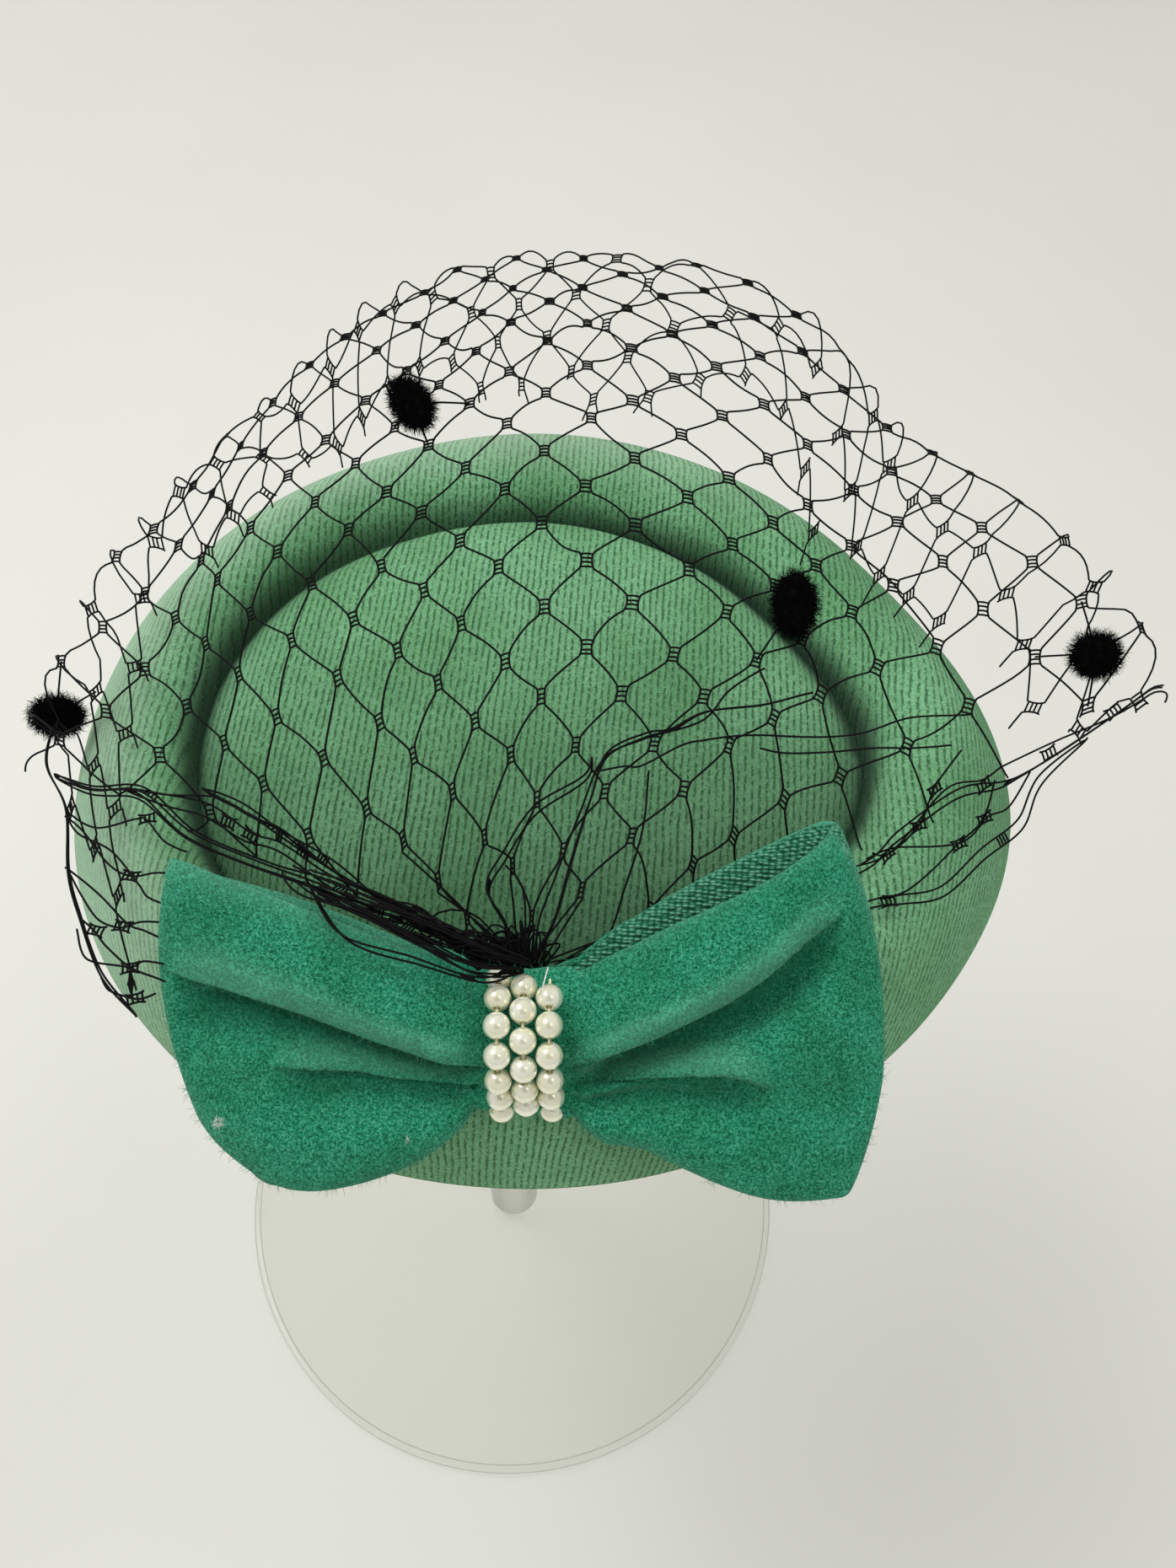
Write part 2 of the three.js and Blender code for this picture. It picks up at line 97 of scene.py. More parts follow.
def paintOver(tree, under, layers):
    # each layer: the attribute that marks its place, how strongly it covers, and its colour
    for label, strength, colour in layers:
        mark = addNode(tree, "ShaderNodeAttribute", attribute_name=label).outputs["Fac"]
        share = addNode(tree, "ShaderNodeMath", {0: mark, 1: strength}, operation="MULTIPLY").outputs[0]
        step = addNode(tree, "ShaderNodeMix", {0: share, 6: under, 7: srgb(colour)}, data_type="RGBA")
        under = step.outputs[2]
    return under


def newPiece(name, mesh):
    piece = bpy.data.objects.new(name, mesh)
    scene.collection.objects.link(piece)
    return piece


def drawnPiece(name, points, edges=(), faces=()):
    mesh = bpy.data.meshes.new(name)
    mesh.from_pydata(points, edges, faces)
    return newPiece(name, mesh)


def oblong(wide, tall):
    x, y = wide / 2, tall / 2
    return [(-x, -y, 0), (x, -y, 0), (x, y, 0), (-x, y, 0)]


def settle(piece):
    depsgraph = bpy.context.evaluated_depsgraph_get()
    mesh = bpy.data.meshes.new_from_object(piece.evaluated_get(depsgraph), depsgraph=depsgraph)
    piece.modifiers.clear()
    piece.data = mesh
    return piece


def smoothed(piece, levels):
    modifier = piece.modifiers.new("Smooth", "SUBSURF")
    modifier.levels = modifier.render_levels = levels
    return settle(piece)


def mergedCopy(node, name):
    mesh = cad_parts[node].data.copy()
    mesh.materials.clear()
    work = bmesh.new()
    work.from_mesh(mesh)
    bmesh.ops.remove_doubles(work, verts=work.verts, dist=1e-6)
    bmesh.ops.join_triangles(work, faces=work.faces, angle_face_threshold=3.1, angle_shape_threshold=3.1)
    work.to_mesh(mesh)
    work.free()
    return newPiece(name, mesh)


def nodeTree(name, sockets):
    tree = bpy.data.node_groups.new(name, "GeometryNodeTree")
    tree.interface.new_socket("Geometry", in_out="INPUT", socket_type="NodeSocketGeometry")
    tree.interface.new_socket("Geometry", in_out="OUTPUT", socket_type="NodeSocketGeometry")
    for label, kind in sockets:
        tree.interface.new_socket(label, in_out="INPUT", socket_type="NodeSocket" + kind)
    return tree, addNode(tree, "NodeGroupInput").outputs


def endTree(tree, geometry, material):
    whole = addNode(tree, "GeometryNodeRealizeInstances", {"Geometry": geometry})
    painted = addNode(tree, "GeometryNodeSetMaterial", {"Geometry": whole.outputs[0], "Material": material})
    addNode(tree, "NodeGroupOutput", {"Geometry": painted.outputs[0]})


def grown(piece, tree, **values):
    modifier = piece.modifiers.new(tree.name, "NODES")
    modifier.node_group = tree
    for item in tree.interface.items_tree:
        if item.in_out == "INPUT" and item.name in values:
            modifier[item.identifier] = values[item.name]
    return settle(piece)


def dress(piece, material=None, stands=()):
    if material:
        piece.data.materials.clear()
        piece.data.materials.append(material)
    for polygon in piece.data.polygons:
        polygon.use_smooth = True
    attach(piece, "root")  # the part has one body
    if stands:
        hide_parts(*stands)
    return piece


def vertexArray(mesh, field="co"):
    flat = np.empty(len(mesh.vertices) * 3)
    mesh.vertices.foreach_get(field, flat)
    return flat.reshape(-1, 3)


def setAttribute(mesh, name, values, kind="FLOAT"):
    field = "vector" if kind == "FLOAT_VECTOR" else "value"
    made = mesh.attributes.new(name, kind, "POINT")
    made.data.foreach_set(field, np.asarray(values, np.float32).ravel())


def lathe(name, profile, sides, closed=False):
    # turns radii and heights in mm about the z axis; a closed profile ends where it starts
    mesh = bpy.data.meshes.new(name)
    work = bmesh.new()
    angles = [2 * math.pi * k / sides for k in range(sides)]
    rings = []
    for r, h in profile:
        turns = angles if r else [0]
        row = [work.verts.new((r * math.cos(a) * mm, r * math.sin(a) * mm, h * mm)) for a in turns]
        rings.append(row if r else row * sides)
    for lower, upper in zip(rings, rings[1:] + (rings[:1] if closed else [])):
        for k in range(sides):
            k2 = (k + 1) % sides
            corners = [lower[k], lower[k2], upper[k2], upper[k]]
            work.faces.new(list(dict.fromkeys(corners)))
    bmesh.ops.recalc_face_normals(work, faces=work.faces)
    work.to_mesh(mesh)
    work.free()
    return newPiece(name, mesh)


def hill(x, width):
    return np.exp(-(x / width) ** 2)


def ramp(x, start, end):  # 0 up to the start, 1 from the end on
    return np.clip((x - start) / (end - start), 0, 1)


def edgeAlong(across, height, bins, pick):
    # the highest or lowest place in each bin that holds any, as two rows to interpolate in
    inBin = np.digitize(across, bins)
    filled = [i for i in range(1, len(bins)) if (inBin == i).any()]
    return [(bins[i - 1] + bins[i]) / 2 for i in filled], [pick(height[inBin == i]) for i in filled]


def cubicRows(rows, place):
    # a smooth curve through the rows of a table
    place = np.asarray(place, float)
    n = len(rows)
    low = np.clip(np.floor(place), 0, n - 2).astype(int)
    t = (place - low)[..., None]
    a, b, c, d = (rows[np.clip(low + shift, 0, n - 1)] for shift in (-1, 0, 1, 2))
    return b + 0.5 * t * (c - a + t * (2 * a - 5 * b + 4 * c - d + t * (3 * (b - c) + d - a)))


# place, lens and near limit in mm, angles in degrees
view = {"place": (18.62, -157.54, 512.82), "down": 57, "left": 1, "roll": 4, "lens": 33.5, "near": 10}
print("camera")
camera = bpy.data.objects.new("camera", bpy.data.cameras.new("camera"))
scene.collection.objects.link(camera)
camera.data.lens = view["lens"]
camera.data.clip_start = view["near"] * mm
turn = Matrix.Rotation(math.radians(view["left"]), 4, "Z")
turn = turn @ Matrix.Rotation(math.radians(90 - view["down"]), 4, "X")
turn = turn @ Matrix.Rotation(math.radians(view["roll"]), 4, "Z")
camera.matrix_world = Matrix.Translation(Vector(view["place"]) * mm) @ turn
scene.camera = camera

studio = {
    "floorSize": 6.0, "floorDrop": 0.0002, "sky": 0.49, "aim": (0, 0, 0.25),
    # energy, size and place of each lamp, and whether glossy things mirror it
    "lamps": {"key": (8.4, 1.0, (-0.45, 0.55, 1.65), False), "fill": (3.4, 0.6, (0.75, 0.35, 1.5), False),
              "side": (2.4, 0.8, (-1.3, 0.15, 0.7), False), "window": (3.2, 0.42, (-0.56, 0.1, 1.2), True),
              "strip": (0.5, 0.13, (0.3, -0.3, 1.1), True), "front": (1.6, 0.6, (0.25, -1.0, 0.4), False)},
    "screen": (0.3, 0.26), "screenPlace": (0.02, -0.26, 0.62), "screenLean": 33,
}
print("floor and lights")
floor = drawnPiece("floor", oblong(studio["floorSize"], studio["floorSize"]), faces=[(0, 1, 2, 3)])
floor.location.z = -studio["floorDrop"]
# matt painted board: a pale warm grey with a very faint mottle
floor.data.materials.append(mottledMaterial(
    "matt_painted_board", {"Roughness": 0.62, "IOR": 1.45}, {"Scale": 3.0, "Detail": 4.0},
    [(0.3, "dfdfd9"), (0.7, "e5e5df")]))

world = bpy.data.worlds.new("studio")
scene.world = world
world.use_nodes = True
backdrop = world.node_tree.nodes["Background"]
backdrop.inputs[0].default_value = srgb("fbfaf5")
backdrop.inputs[1].default_value = studio["sky"]
for label, (energy, size, spot, mirrored) in studio["lamps"].items():
    lamp = bpy.data.objects.new(label, bpy.data.lights.new(label, "AREA"))
    scene.collection.objects.link(lamp)
    lamp.visible_glossy = mirrored
    lamp.data.energy = energy
    lamp.data.size = size
    lamp.location = spot
    aim = Vector(studio["aim"]) - lamp.location
    lamp.rotation_euler = aim.to_track_quat("-Z", "Y").to_euler()

# a dim warm screen over the part, out of the camera's sight, for glossy things to mirror
screen = drawnPiece("screen", oblong(*studio["screen"]), faces=[(3, 2, 1, 0)])
screen.location = studio["screenPlace"]
screen.rotation_euler = (math.radians(studio["screenLean"]), 0, 0)
screen.data.materials.append(mottledMaterial(
    "grey_cotton_cloth", {"Roughness": 0.9}, {"Scale": 900.0}, [(0.3, "7d7263"), (0.7, "8b8070")]))
screen.visible_shadow = screen.visible_diffuse = False
screen.visible_camera = False


# hat: one pressed shell of brushed knit felt
felt = {
    "levels": 2, "wale": 1.3, "crown": (3.5, 1.0), "crest": 19.5, "groove": 0.69, "meanReach": 85,
    "outline": [93.0, 83.6, 81.4, 81.4, 81.4, 84.8, 88.2, 90.3, 89.2, 87.0, 87.2, 89.8],  # every 30 degrees
    "drawn": (0.6, 0.035),  # how strongly rows are drawn to the groove, and over what share of the outline
    "inward": (0.02, 50, 0.07),  # how far in the groove lies at the far side, over what angle and share
    "wall": (66, 74, 0.75),  # where the wall starts and is full, and how its fall lengthens the cloth
    # share of the outline, and how far the felt is pressed in there below the solid, mm
    "press": [(0.52, 0), (0.58, -0.1), (0.61, -0.3), (0.63, -0.6), (0.65, -1.2), (0.67, -2.1), (0.68, -2.6),
              (0.69, -3.0), (0.697, -2.0), (0.705, 0), (0.716, 1.3), (0.735, 1.4), (0.752, 0.9), (0.79, 0)],
}
print("hat")
hat = smoothed(mergedCopy("hat_body", "hat_shell"), felt["levels"])
spots = vertexArray(hat.data) / mm
x, y = spots[:, 0] - felt["crown"][0], spots[:, 1] - felt["crown"][1]
outline = np.array(felt["outline"] * 3)[:, None]
reachAt = cubicRows(outline, 12 + np.degrees(np.arctan2(y, x)) / 30)[:, 0]
share = np.hypot(x, y) / reachAt
bearing = np.degrees(np.arctan2(y, x)) % 360
# rows are drawn together at the groove round the crown, then pressed in; at the far side it lies further in
off = share - felt["groove"]
pull, pullBand = felt["drawn"]
pulled = felt["groove"] + off * (1 - pull * hill(off, pullBand))
inward, inwardAngle, inwardBand = felt["inward"]
inward = inward * hill(bearing - 90, inwardAngle) * hill(off, inwardBand)
spots[:, 0] += x * ((pulled - inward) / share.clip(1e-6) - 1)
spots[:, 1] += y * ((pulled - inward) / share.clip(1e-6) - 1)
pressAt, press = np.array(felt["press"]).T
spots[:, 2] += np.interp(pulled, pressAt, press)
hat.data.vertices.foreach_set("co", (spots * mm).ravel())
x, y = spots[:, 0] - felt["crown"][0], spots[:, 1] - felt["crown"][1]
z = spots[:, 2] - hatCentre.z
radius = np.hypot(x, y)
wallStart, wallFull, wallShare = felt["wall"]
run = radius + ramp(radius, wallStart, wallFull) * wallShare * np.clip(felt["crest"] - z, 0, None)
place = np.stack([x / radius.clip(1e-6) * run, y / radius.clip(1e-6) * run, z], 1)
setAttribute(hat.data, "clothPlace", place, "FLOAT_VECTOR")
# painted shade in the groove: darkest at its line, fading over 1 to 3 mm on each side of it
past = (pulled - felt["groove"]) * felt["meanReach"]
crownSide = 0.5 * hill(past, 2.6) + 0.5 * hill(np.clip(-past - 0.2, 0, None), 0.9)
rimSide = 0.35 * hill(past, 3) + 0.65 * hill(np.clip(past - 0.6, 0, None), 1.2)
paintedGrooveShade = np.where(past < 0, crownSide, rimSide) * (1 - 0.3 * hill(bearing - 118, 32))
# the painted shade is narrow at the far side, and spread over a wider band on the right
paintedGrooveShade *= 1 - np.clip(past / 2.5, 0, 0.8) * hill(bearing - 90, 42)
paintedGrooveShade = np.maximum(paintedGrooveShade, hill(past + 0.6, 2.6) * ramp(np.abs(bearing - 15), 62, 42))
setAttribute(hat.data, "paintedGrooveShade", paintedGrooveShade)
# painted sheen: the outer slope of the rim is painted paler round the left and far edge, where light catches
# the nap
paintedRimSheen = ramp(pulled, 0.74, 0.86) * ramp(bearing, 40, 100) * ramp(bearing, 245, 215)
setAttribute(hat.data, "paintedRimSheen", paintedRimSheen)
# the crown lies more and more in the shade of the net and the bow towards the front and the right
shaded = 0.6 * ramp(y, 20, -45) ** 1.3 + 0.18 * ramp(x, -20, 40) * ramp(y, 40, 0)
setAttribute(hat.data, "shaded", shaded * ramp(pulled, 0.72, 0.66))

hatFelt, tree, shader = newMaterial("brushed_knit_felt", {
    "Roughness": 0.9, "IOR": 1.4,
    "Sheen Weight": 0.22, "Sheen Roughness": 0.35, "Sheen Tint": srgb("c4ecc8")})
# ribs of the knit, 1.3 mm apart, run from front to back; between them lie dark dashes 0.5 x 2 mm;
# matted fibres make specks of 0.4 mm; the cut edge shows as a 0.5 mm line under a 1.2 mm pressed hem
spot = addNode(tree, "ShaderNodeAttribute", attribute_name="clothPlace").outputs["Vector"]
wavy = addNode(tree, "ShaderNodeTexNoise", {"Vector": spot, "Scale": 0.12}).outputs["Color"]
bent = addNode(tree, "ShaderNodeVectorMath", {0: wavy, 1: (1.0, 1.0, 0), 2: spot}, operation="MULTIPLY_ADD")
wales = addNode(tree, "ShaderNodeTexWave", {
    "Vector": bent.outputs[0], "Scale": 1 / felt["wale"] * math.pi / 10, "Distortion": 0.5,
    "Detail Scale": 3.0}, bands_direction="X").outputs["Fac"]
longer = addNode(tree, "ShaderNodeMapping", {"Vector": bent.outputs[0], "Scale": (1.8, 0.95, 1.2)})
dashes = addNode(tree, "ShaderNodeTexNoise", {"Vector": longer.outputs[0], "Scale": 1.0}).outputs[0]
specks, cloud = (addNode(tree, "ShaderNodeTexNoise", {"Vector": spot, **p}).outputs[0] for p in (
    {"Scale": 2.4, "Detail": 4.0, "Roughness": 0.75}, {"Scale": 0.045, "Detail": 4.0}))
tone = addNode(tree, "ShaderNodeValToRGB", {"Fac": cloud}, stops=[(0.35, "80c08c"), (0.65, "9adaaa")])
inRib = addNode(tree, "ShaderNodeMapRange", {0: wales, 1: 0.0, 2: 0.45, 3: 1.0, 4: 0.15}).outputs[0]
inDash = addNode(tree, "ShaderNodeMapRange", {0: dashes, 1: 0.42, 2: 0.56, 3: 0.25, 4: 1.0}).outputs[0]
seam = addNode(tree, "ShaderNodeMath", {0: inRib, 1: inDash}, operation="MULTIPLY").outputs[0]
step = addNode(tree, "ShaderNodeMix", {0: seam, 6: tone.outputs[0], 7: srgb("4d8659")}, data_type="RGBA")
fine = addNode(tree, "ShaderNodeValToRGB", {"Fac": specks},
               stops=[(0.36, "86a386"), (0.5, "dfe8dd"), (0.64, "ffffff")])
step = addNode(tree, "ShaderNodeMix", {0: 0.8, 6: step.outputs[2], 7: fine.outputs[0]},
               data_type="RGBA", blend_type="MULTIPLY")
# painted over the felt in turn: painted sheen on the outer rim, painted shade on the crown towards the bow,
# painted shade in the groove
colour = paintOver(tree, step.outputs[2], (
    ("paintedRimSheen", 0.6, "c6e6c9"), ("shaded", 1.0, "16331c"), ("paintedGrooveShade", 0.97, "06301a")))
height = addNode(tree, "ShaderNodeSeparateXYZ", {0: spot}).outputs["Z"]
# the pressed hem, then the cut edge: heights where each starts and is full, its cover and its colour
for start, full, cover, edge in ((1.5, 1.2, 0.5, "4d7448"), (0.5, 0.3, 1.0, "8a8450")):
    share = addNode(tree, "ShaderNodeMapRange", {0: height, 1: start, 2: full, 3: 0.0, 4: cover}).outputs[0]
    colour = addNode(tree, "ShaderNodeMix", {0: share, 6: colour, 7: srgb(edge)}, data_type="RGBA").outputs[2]
tree.links.new(colour, shader.inputs["Base Color"])
ribs = addNode(tree, "ShaderNodeMath", {0: seam, 1: -1.2, 2: specks}, operation="MULTIPLY_ADD").outputs[0]
bump = addNode(tree, "ShaderNodeBump", {"Strength": 0.9, "Distance": 0.0005, "Height": ribs})
tree.links.new(bump.outputs[0], shader.inputs["Normal"])
dress(hat, hatFelt, ["hat_body"])

# bow: one closed band of brushed wool felt
bowSet = {
    "levels": 3, "centre": (10.1, -69, 300.9), "tilt": 55, "hairs": 1.0e6, "hairLength": 0.0014,
    "hairRadius": 0.000045, "raise": 1.6, "lower": 1.5, "peek": (-39, -22, 4.0),
    # folds: points along each lip (across, up), then its crest, valley, overlap and hollow, all in mm
    "folds": [
        ([(-55, 7.2), (-46.8, 7.1), (-40.6, 5.8), (-33.3, 4.2), (-27, 2.3), (-21.8, 0.7), (-9.6, -1.6),
          (-5, -2.9)], 1.2, 2.0, 1.3, 3.2),
        ([(-38, -5.2), (-34.8, -5), (-30, -4.5), (-25, -4.4), (-19, -5), (-13.3, -5.1), (-7.6, -5.4),
          (-5, -5.6)], 0.8, 1.5, 0.9, 2.2),
        ([(6, -2), (13.5, 2.4), (19.7, 5.4), (25.2, 8.4), (30.3, 11.4), (34.8, 15), (41.5, 21.6), (47, 25.5)],
         1.2, 2.0, 1.3, 4.0),
        ([(6, -4.4), (13.9, -2.7), (19.5, -1.4), (25.9, -0.4), (30.7, 0.1), (34, -0.4), (38, -2)],
         0.7, 1.5, 0.9, 2.2)],
    # depth of hollow that lies in full shade, mm, and how strongly crests and edges are painted lighter as
    # painted highlight
    "shadeDepth": 3.4, "highlightStrength": 0.8,
    # the waist beside the pearls: places across, and the band's top and lower edge there, in mm
    "waist": [(-20, 17.5, -21.5), (-13, 15.2, -17), (-9.3, 13.5, -14.6), (-6.9, 12.6, -12.4), (-5, 12, -11.2),
              (0, 12, -10.6), (4.5, 13.6, -10.6), (7.5, 15.4, -11.2), (10.1, 16.8, -12.2), (13.9, 19, -14),
              (20, 23, -16)],
}
print("bow")
tilt = math.radians(bowSet["tilt"])
bowUp = np.array((0, math.sin(tilt), math.cos(tilt)))
bowFace = np.array((0, -math.cos(tilt), math.sin(tilt)))


def bowPlace(across, up, out):
    across, up, out = (np.asarray(v, float)[..., None] for v in (across, up, out))
    return across * (1, 0, 0) + up * bowUp + out * bowFace + bowSet["centre"]


bow = smoothed(mergedCopy("bow", "wool_bow"), bowSet["levels"])
spots = vertexArray(bow.data) / mm - bowSet["centre"]
facing = vertexArray(bow.data, "normal") @ bowFace
across, up, out = spots[:, 0], spots @ bowUp, spots @ bowFace
lining = ((out < 1) & (facing > 0.6)) | ((out > 2.2) & (facing < -0.4))
lining &= (across > 3) & (across < 47)
setAttribute(bow.data, "lining", lining)
# the band is drawn out to the waist's new edges, on each side of its middle line
waist = np.array(bowSet["waist"]).T
first, last = waist[0, 0], waist[0, -1]
bins = np.arange(first, last + 1.5, 1.5)
top, low = (np.interp(across, *edgeAlong(across, up, bins, pick)) for pick in (np.max, np.min))
newTop, newLow = (np.interp(across, waist[0], edge) for edge in waist[1:])
held = ramp(across, first, first + 6) * ramp(across, last, last - 6)
newTop, newLow = top + held * np.clip(newTop - top, 0, 6), low + held * np.clip(newLow - low, -6, 0)
mid = -1.0
edge, newEdge = np.where(up > mid, (top, newTop), (low, newLow))
up = mid + (up - mid) * (newEdge - mid) / (edge - mid)
spots += (up - spots @ bowUp)[:, None] * bowUp
front, behind = ramp(out, 0.5, 2.5), ramp(out, 0.5, -1.5)
shiftUp, shiftOut, shaded = np.zeros((3, len(up)))
belowTop = np.interp(across, *edgeAlong(across, up, np.arange(-60, 60, 1.5), np.max)) - up
# painted highlight along the band's top edge
paintedHighlight = bowSet["highlightStrength"] * hill(belowTop, 3.5) * ramp(np.abs(across), 10, 20)
# each fold: a lip that overlaps, with a crest on it, a valley under it and a hollow farther down; the crest
# gets painted highlight and the hollow painted shade
for line, crest, valley, overlap, hollow in bowSet["folds"]:
    lineAcross, lineUp = np.array(line).T
    away = up - np.interp(across, lineAcross, lineUp)
    lip = away > -0.4
    ends = np.clip(np.minimum(across - lineAcross[0], lineAcross[-1] - across) / 7, 0, 1)
    ends = front * ends ** 0.7 * np.where(np.abs(across - 1) < 10, 0.7, 1)
    wide = 0.5 + 1.4 * np.clip(np.abs(across) / 60, 0, 1)
    shiftOut += ends * crest * hill(away - 1.1, 1.7 * wide) * lip
    shiftOut -= ends * valley * hill(away + 1.1 * wide, 1.2 * wide) * ~lip
    shiftOut -= ends * hollow * hill(away + 4.5 * wide, 3.2 * wide)
    paintedHighlight += bowSet["highlightStrength"] * ends * hill(away - 1.6, 1.8 * wide)
    shaded += ends * hollow / bowSet["shadeDepth"] * hill(away + 2.4 * wide, 2.6 * wide) * (away <= 0)
    shiftUp -= ends * overlap * hill(away - 0.2, 0.9) * lip
    shiftUp += ends * 0.4 * overlap * hill(away + 1.2, 0.8) * ~lip
setAttribute(bow.data, "shaded", np.clip(shaded, 0, 1))
setAttribute(bow.data, "paintedHighlight", np.clip(paintedHighlight, 0, 1))
# the back layer shows above the front one on the right, and at the lower left corner
shiftUp += behind * bowSet["raise"] * ramp(across, 4, 12) * ramp(up, 0, 12) * ramp(across, 49, 44)
shiftUp -= behind * bowSet["lower"] * ramp(across, -6, -14) * ramp(up, 4, 12)
cornerAcross, cornerUp, drop = bowSet["peek"]
shiftUp += (0.4 - 1.4 * behind) * drop * hill(np.hypot(across - cornerAcross, up - cornerUp), 7)
spots += shiftUp[:, None] * bowUp + shiftOut[:, None] * bowFace
bow.data.vertices.foreach_set("co", ((spots + bowSet["centre"]) * mm).ravel())
bow.data.update()

wool, tree, shader = newMaterial("brushed_wool_felt", {
    "Roughness": 0.95, "IOR": 1.3,
    "Sheen Weight": 0.45, "Sheen Roughness": 0.3, "Sheen Tint": srgb("a6e4cb")})
spot = addNode(tree, "ShaderNodeTexCoord").outputs["Object"]
# matted fibres: mottled clumps about 0.6 mm across, with fine 0.25 mm specks over them
clump, speck, cloud = (addNode(tree, "ShaderNodeTexNoise", {"Vector": spot, **p}).outputs[0] for p in (
    {"Scale": 2100.0, "Detail": 5.0, "Roughness": 0.65}, {"Scale": 4200.0, "Roughness": 0.6},
    {"Scale": 120.0, "Detail": 3.0}))
base = addNode(tree, "ShaderNodeValToRGB", {"Fac": clump},
               stops=[(0.37, "0c6947"), (0.5, "289470"), (0.66, "56b592")])
colour = base.outputs[0]
for pattern, cover, stops in ((speck, 0.7, [(0.36, "7fa596"), (0.52, "ffffff")]),
                              (cloud, 0.8, [(0.35, "cfe0d7"), (0.62, "ffffff")])):
    tint = addNode(tree, "ShaderNodeValToRGB", {"Fac": pattern}, stops=stops)
    colour = addNode(tree, "ShaderNodeMix", {0: cover, 6: colour, 7: tint.outputs[0]},
                     data_type="RGBA", blend_type="MULTIPLY").outputs[2]
# painted over the wool: painted highlight on crests and top edges, painted shade in the hollows under the
# lips
colour = paintOver(tree, colour, (("paintedHighlight", 0.3, "79bd9f"), ("shaded", 0.6, "04573a")))
# the knitted inner face: chains of shiny loops 0.6 x 1 mm, dark between
inner = addNode(tree, "ShaderNodeAttribute", attribute_name="lining").outputs["Fac"]
loops = addNode(tree, "ShaderNodeMapping", {"Vector": spot, "Scale": (1000, 1800, 1800)}).outputs[0]
chain = addNode(tree, "ShaderNodeTexVoronoi", {
    "Vector": loops, "Scale": 1.0, "Randomness": 0.35}).outputs["Distance"]
loopTone = addNode(tree, "ShaderNodeValToRGB", {"Fac": chain},
                   stops=[(0.25, "6aa68b"), (0.5, "2b7a5a"), (0.7, "0c4a34")])
step = addNode(tree, "ShaderNodeMix", {0: inner, 6: colour, 7: loopTone.outputs[0]}, data_type="RGBA")
tree.links.new(step.outputs[2], shader.inputs["Base Color"])
gloss = addNode(tree, "ShaderNodeMapRange", {0: inner, 1: 0.0, 2: 1.0, 3: 0.95, 4: 0.4}).outputs[0]
tree.links.new(gloss, shader.inputs["Roughness"])
relief = addNode(tree, "ShaderNodeMath", {0: clump, 1: 1.4, 2: speck}, operation="MULTIPLY_ADD").outputs[0]
knit = addNode(tree, "ShaderNodeMath", {0: chain, 1: -2.5}, operation="MULTIPLY").outputs[0]
relief = addNode(tree, "ShaderNodeMix", {0: inner, 2: relief, 3: knit}, data_type="FLOAT").outputs[0]
bump = addNode(tree, "ShaderNodeBump", {"Strength": 0.6, "Distance": 0.0005, "Height": relief})
tree.links.new(bump.outputs[0], shader.inputs["Normal"])
dress(bow, wool, ["bow"])

# loose fibres standing off a surface, each a short tapered curl
napTree, inputs = nodeTree("nap", [("Density", "Float"), ("Length", "Float"), ("Radius", "Float"),
                                   ("Seed", "Int"), ("Finish", "Material"), ("Bends", "Int")])
bald = addNode(napTree, "GeometryNodeInputNamedAttribute", {"Name": "bald"}, data_type="FLOAT").outputs[0]
hairy = addNode(napTree, "FunctionNodeCompare", {0: bald, 1: 0.5}, data_type="FLOAT", operation="LESS_THAN")
scatter = addNode(napTree, "GeometryNodeDistributePointsOnFaces", {
    "Mesh": inputs["Geometry"], "Selection": hairy.outputs[0], "Density": inputs["Density"],
    "Seed": inputs["Seed"]})
tip = addNode(napTree, "ShaderNodeCombineXYZ", {"X": 0.45, "Y": 0.0, "Z": 0.9})
midway = addNode(napTree, "ShaderNodeCombineXYZ", {"X": 0.0, "Y": 0.0, "Z": 0.55})
curl = addNode(napTree, "GeometryNodeCurveQuadraticBezier", {
    "Resolution": inputs["Bends"], "Start": (0, 0, 0), "Middle": midway.outputs[0], "End": tip.outputs[0]})
along = addNode(napTree, "GeometryNodeSplineParameter").outputs["Factor"]
taper = addNode(napTree, "ShaderNodeMapRange", {0: along, 1: 0.0, 2: 1.0, 3: 1.0, 4: 0.15}).outputs[0]
thin = addNode(napTree, "ShaderNodeMath", {0: inputs["Radius"], 1: inputs["Length"]}, operation="DIVIDE")
ring = addNode(napTree, "GeometryNodeCurvePrimitiveCircle", {"Resolution": 3, "Radius": thin.outputs[0]})
hair = addNode(napTree, "GeometryNodeCurveToMesh", {
    "Curve": curl.outputs[0], "Profile Curve": ring.outputs[0], "Scale": taper})
spin = addNode(napTree, "FunctionNodeRandomValue", {0: (-0.6, -0.6, 0.0), 1: (0.6, 0.6, 6.28)},
               data_type="FLOAT_VECTOR")
turned = addNode(napTree, "FunctionNodeRotateRotation", {
    "Rotation": scatter.outputs["Rotation"], "Rotate By": spin.outputs[0]}, rotation_space="LOCAL")
size = addNode(napTree, "FunctionNodeRandomValue", {2: 0.5, 3: 1.15}, data_type="FLOAT")
sized = addNode(napTree, "ShaderNodeMath", {0: size.outputs[1], 1: inputs["Length"]}, operation="MULTIPLY")
hairs = addNode(napTree, "GeometryNodeInstanceOnPoints", {
    "Points": scatter.outputs["Points"], "Instance": hair.outputs[0], "Rotation": turned.outputs[0],
    "Scale": sized.outputs[0]})
endTree(napTree, hairs.outputs[0], inputs["Finish"])


def addHairs(name, mesh, slot, **values):
    dress(grown(newPiece(name, mesh), napTree, **values), None)


napMesh = bow.data.copy()
setAttribute(napMesh, "bald", lining | (facing < -0.25))
addHairs("bow_nap", napMesh, "bow_wool", Density=bowSet["hairs"], Length=bowSet["hairLength"],
         Radius=bowSet["hairRadius"], Seed=3, Finish=wool, Bends=1)

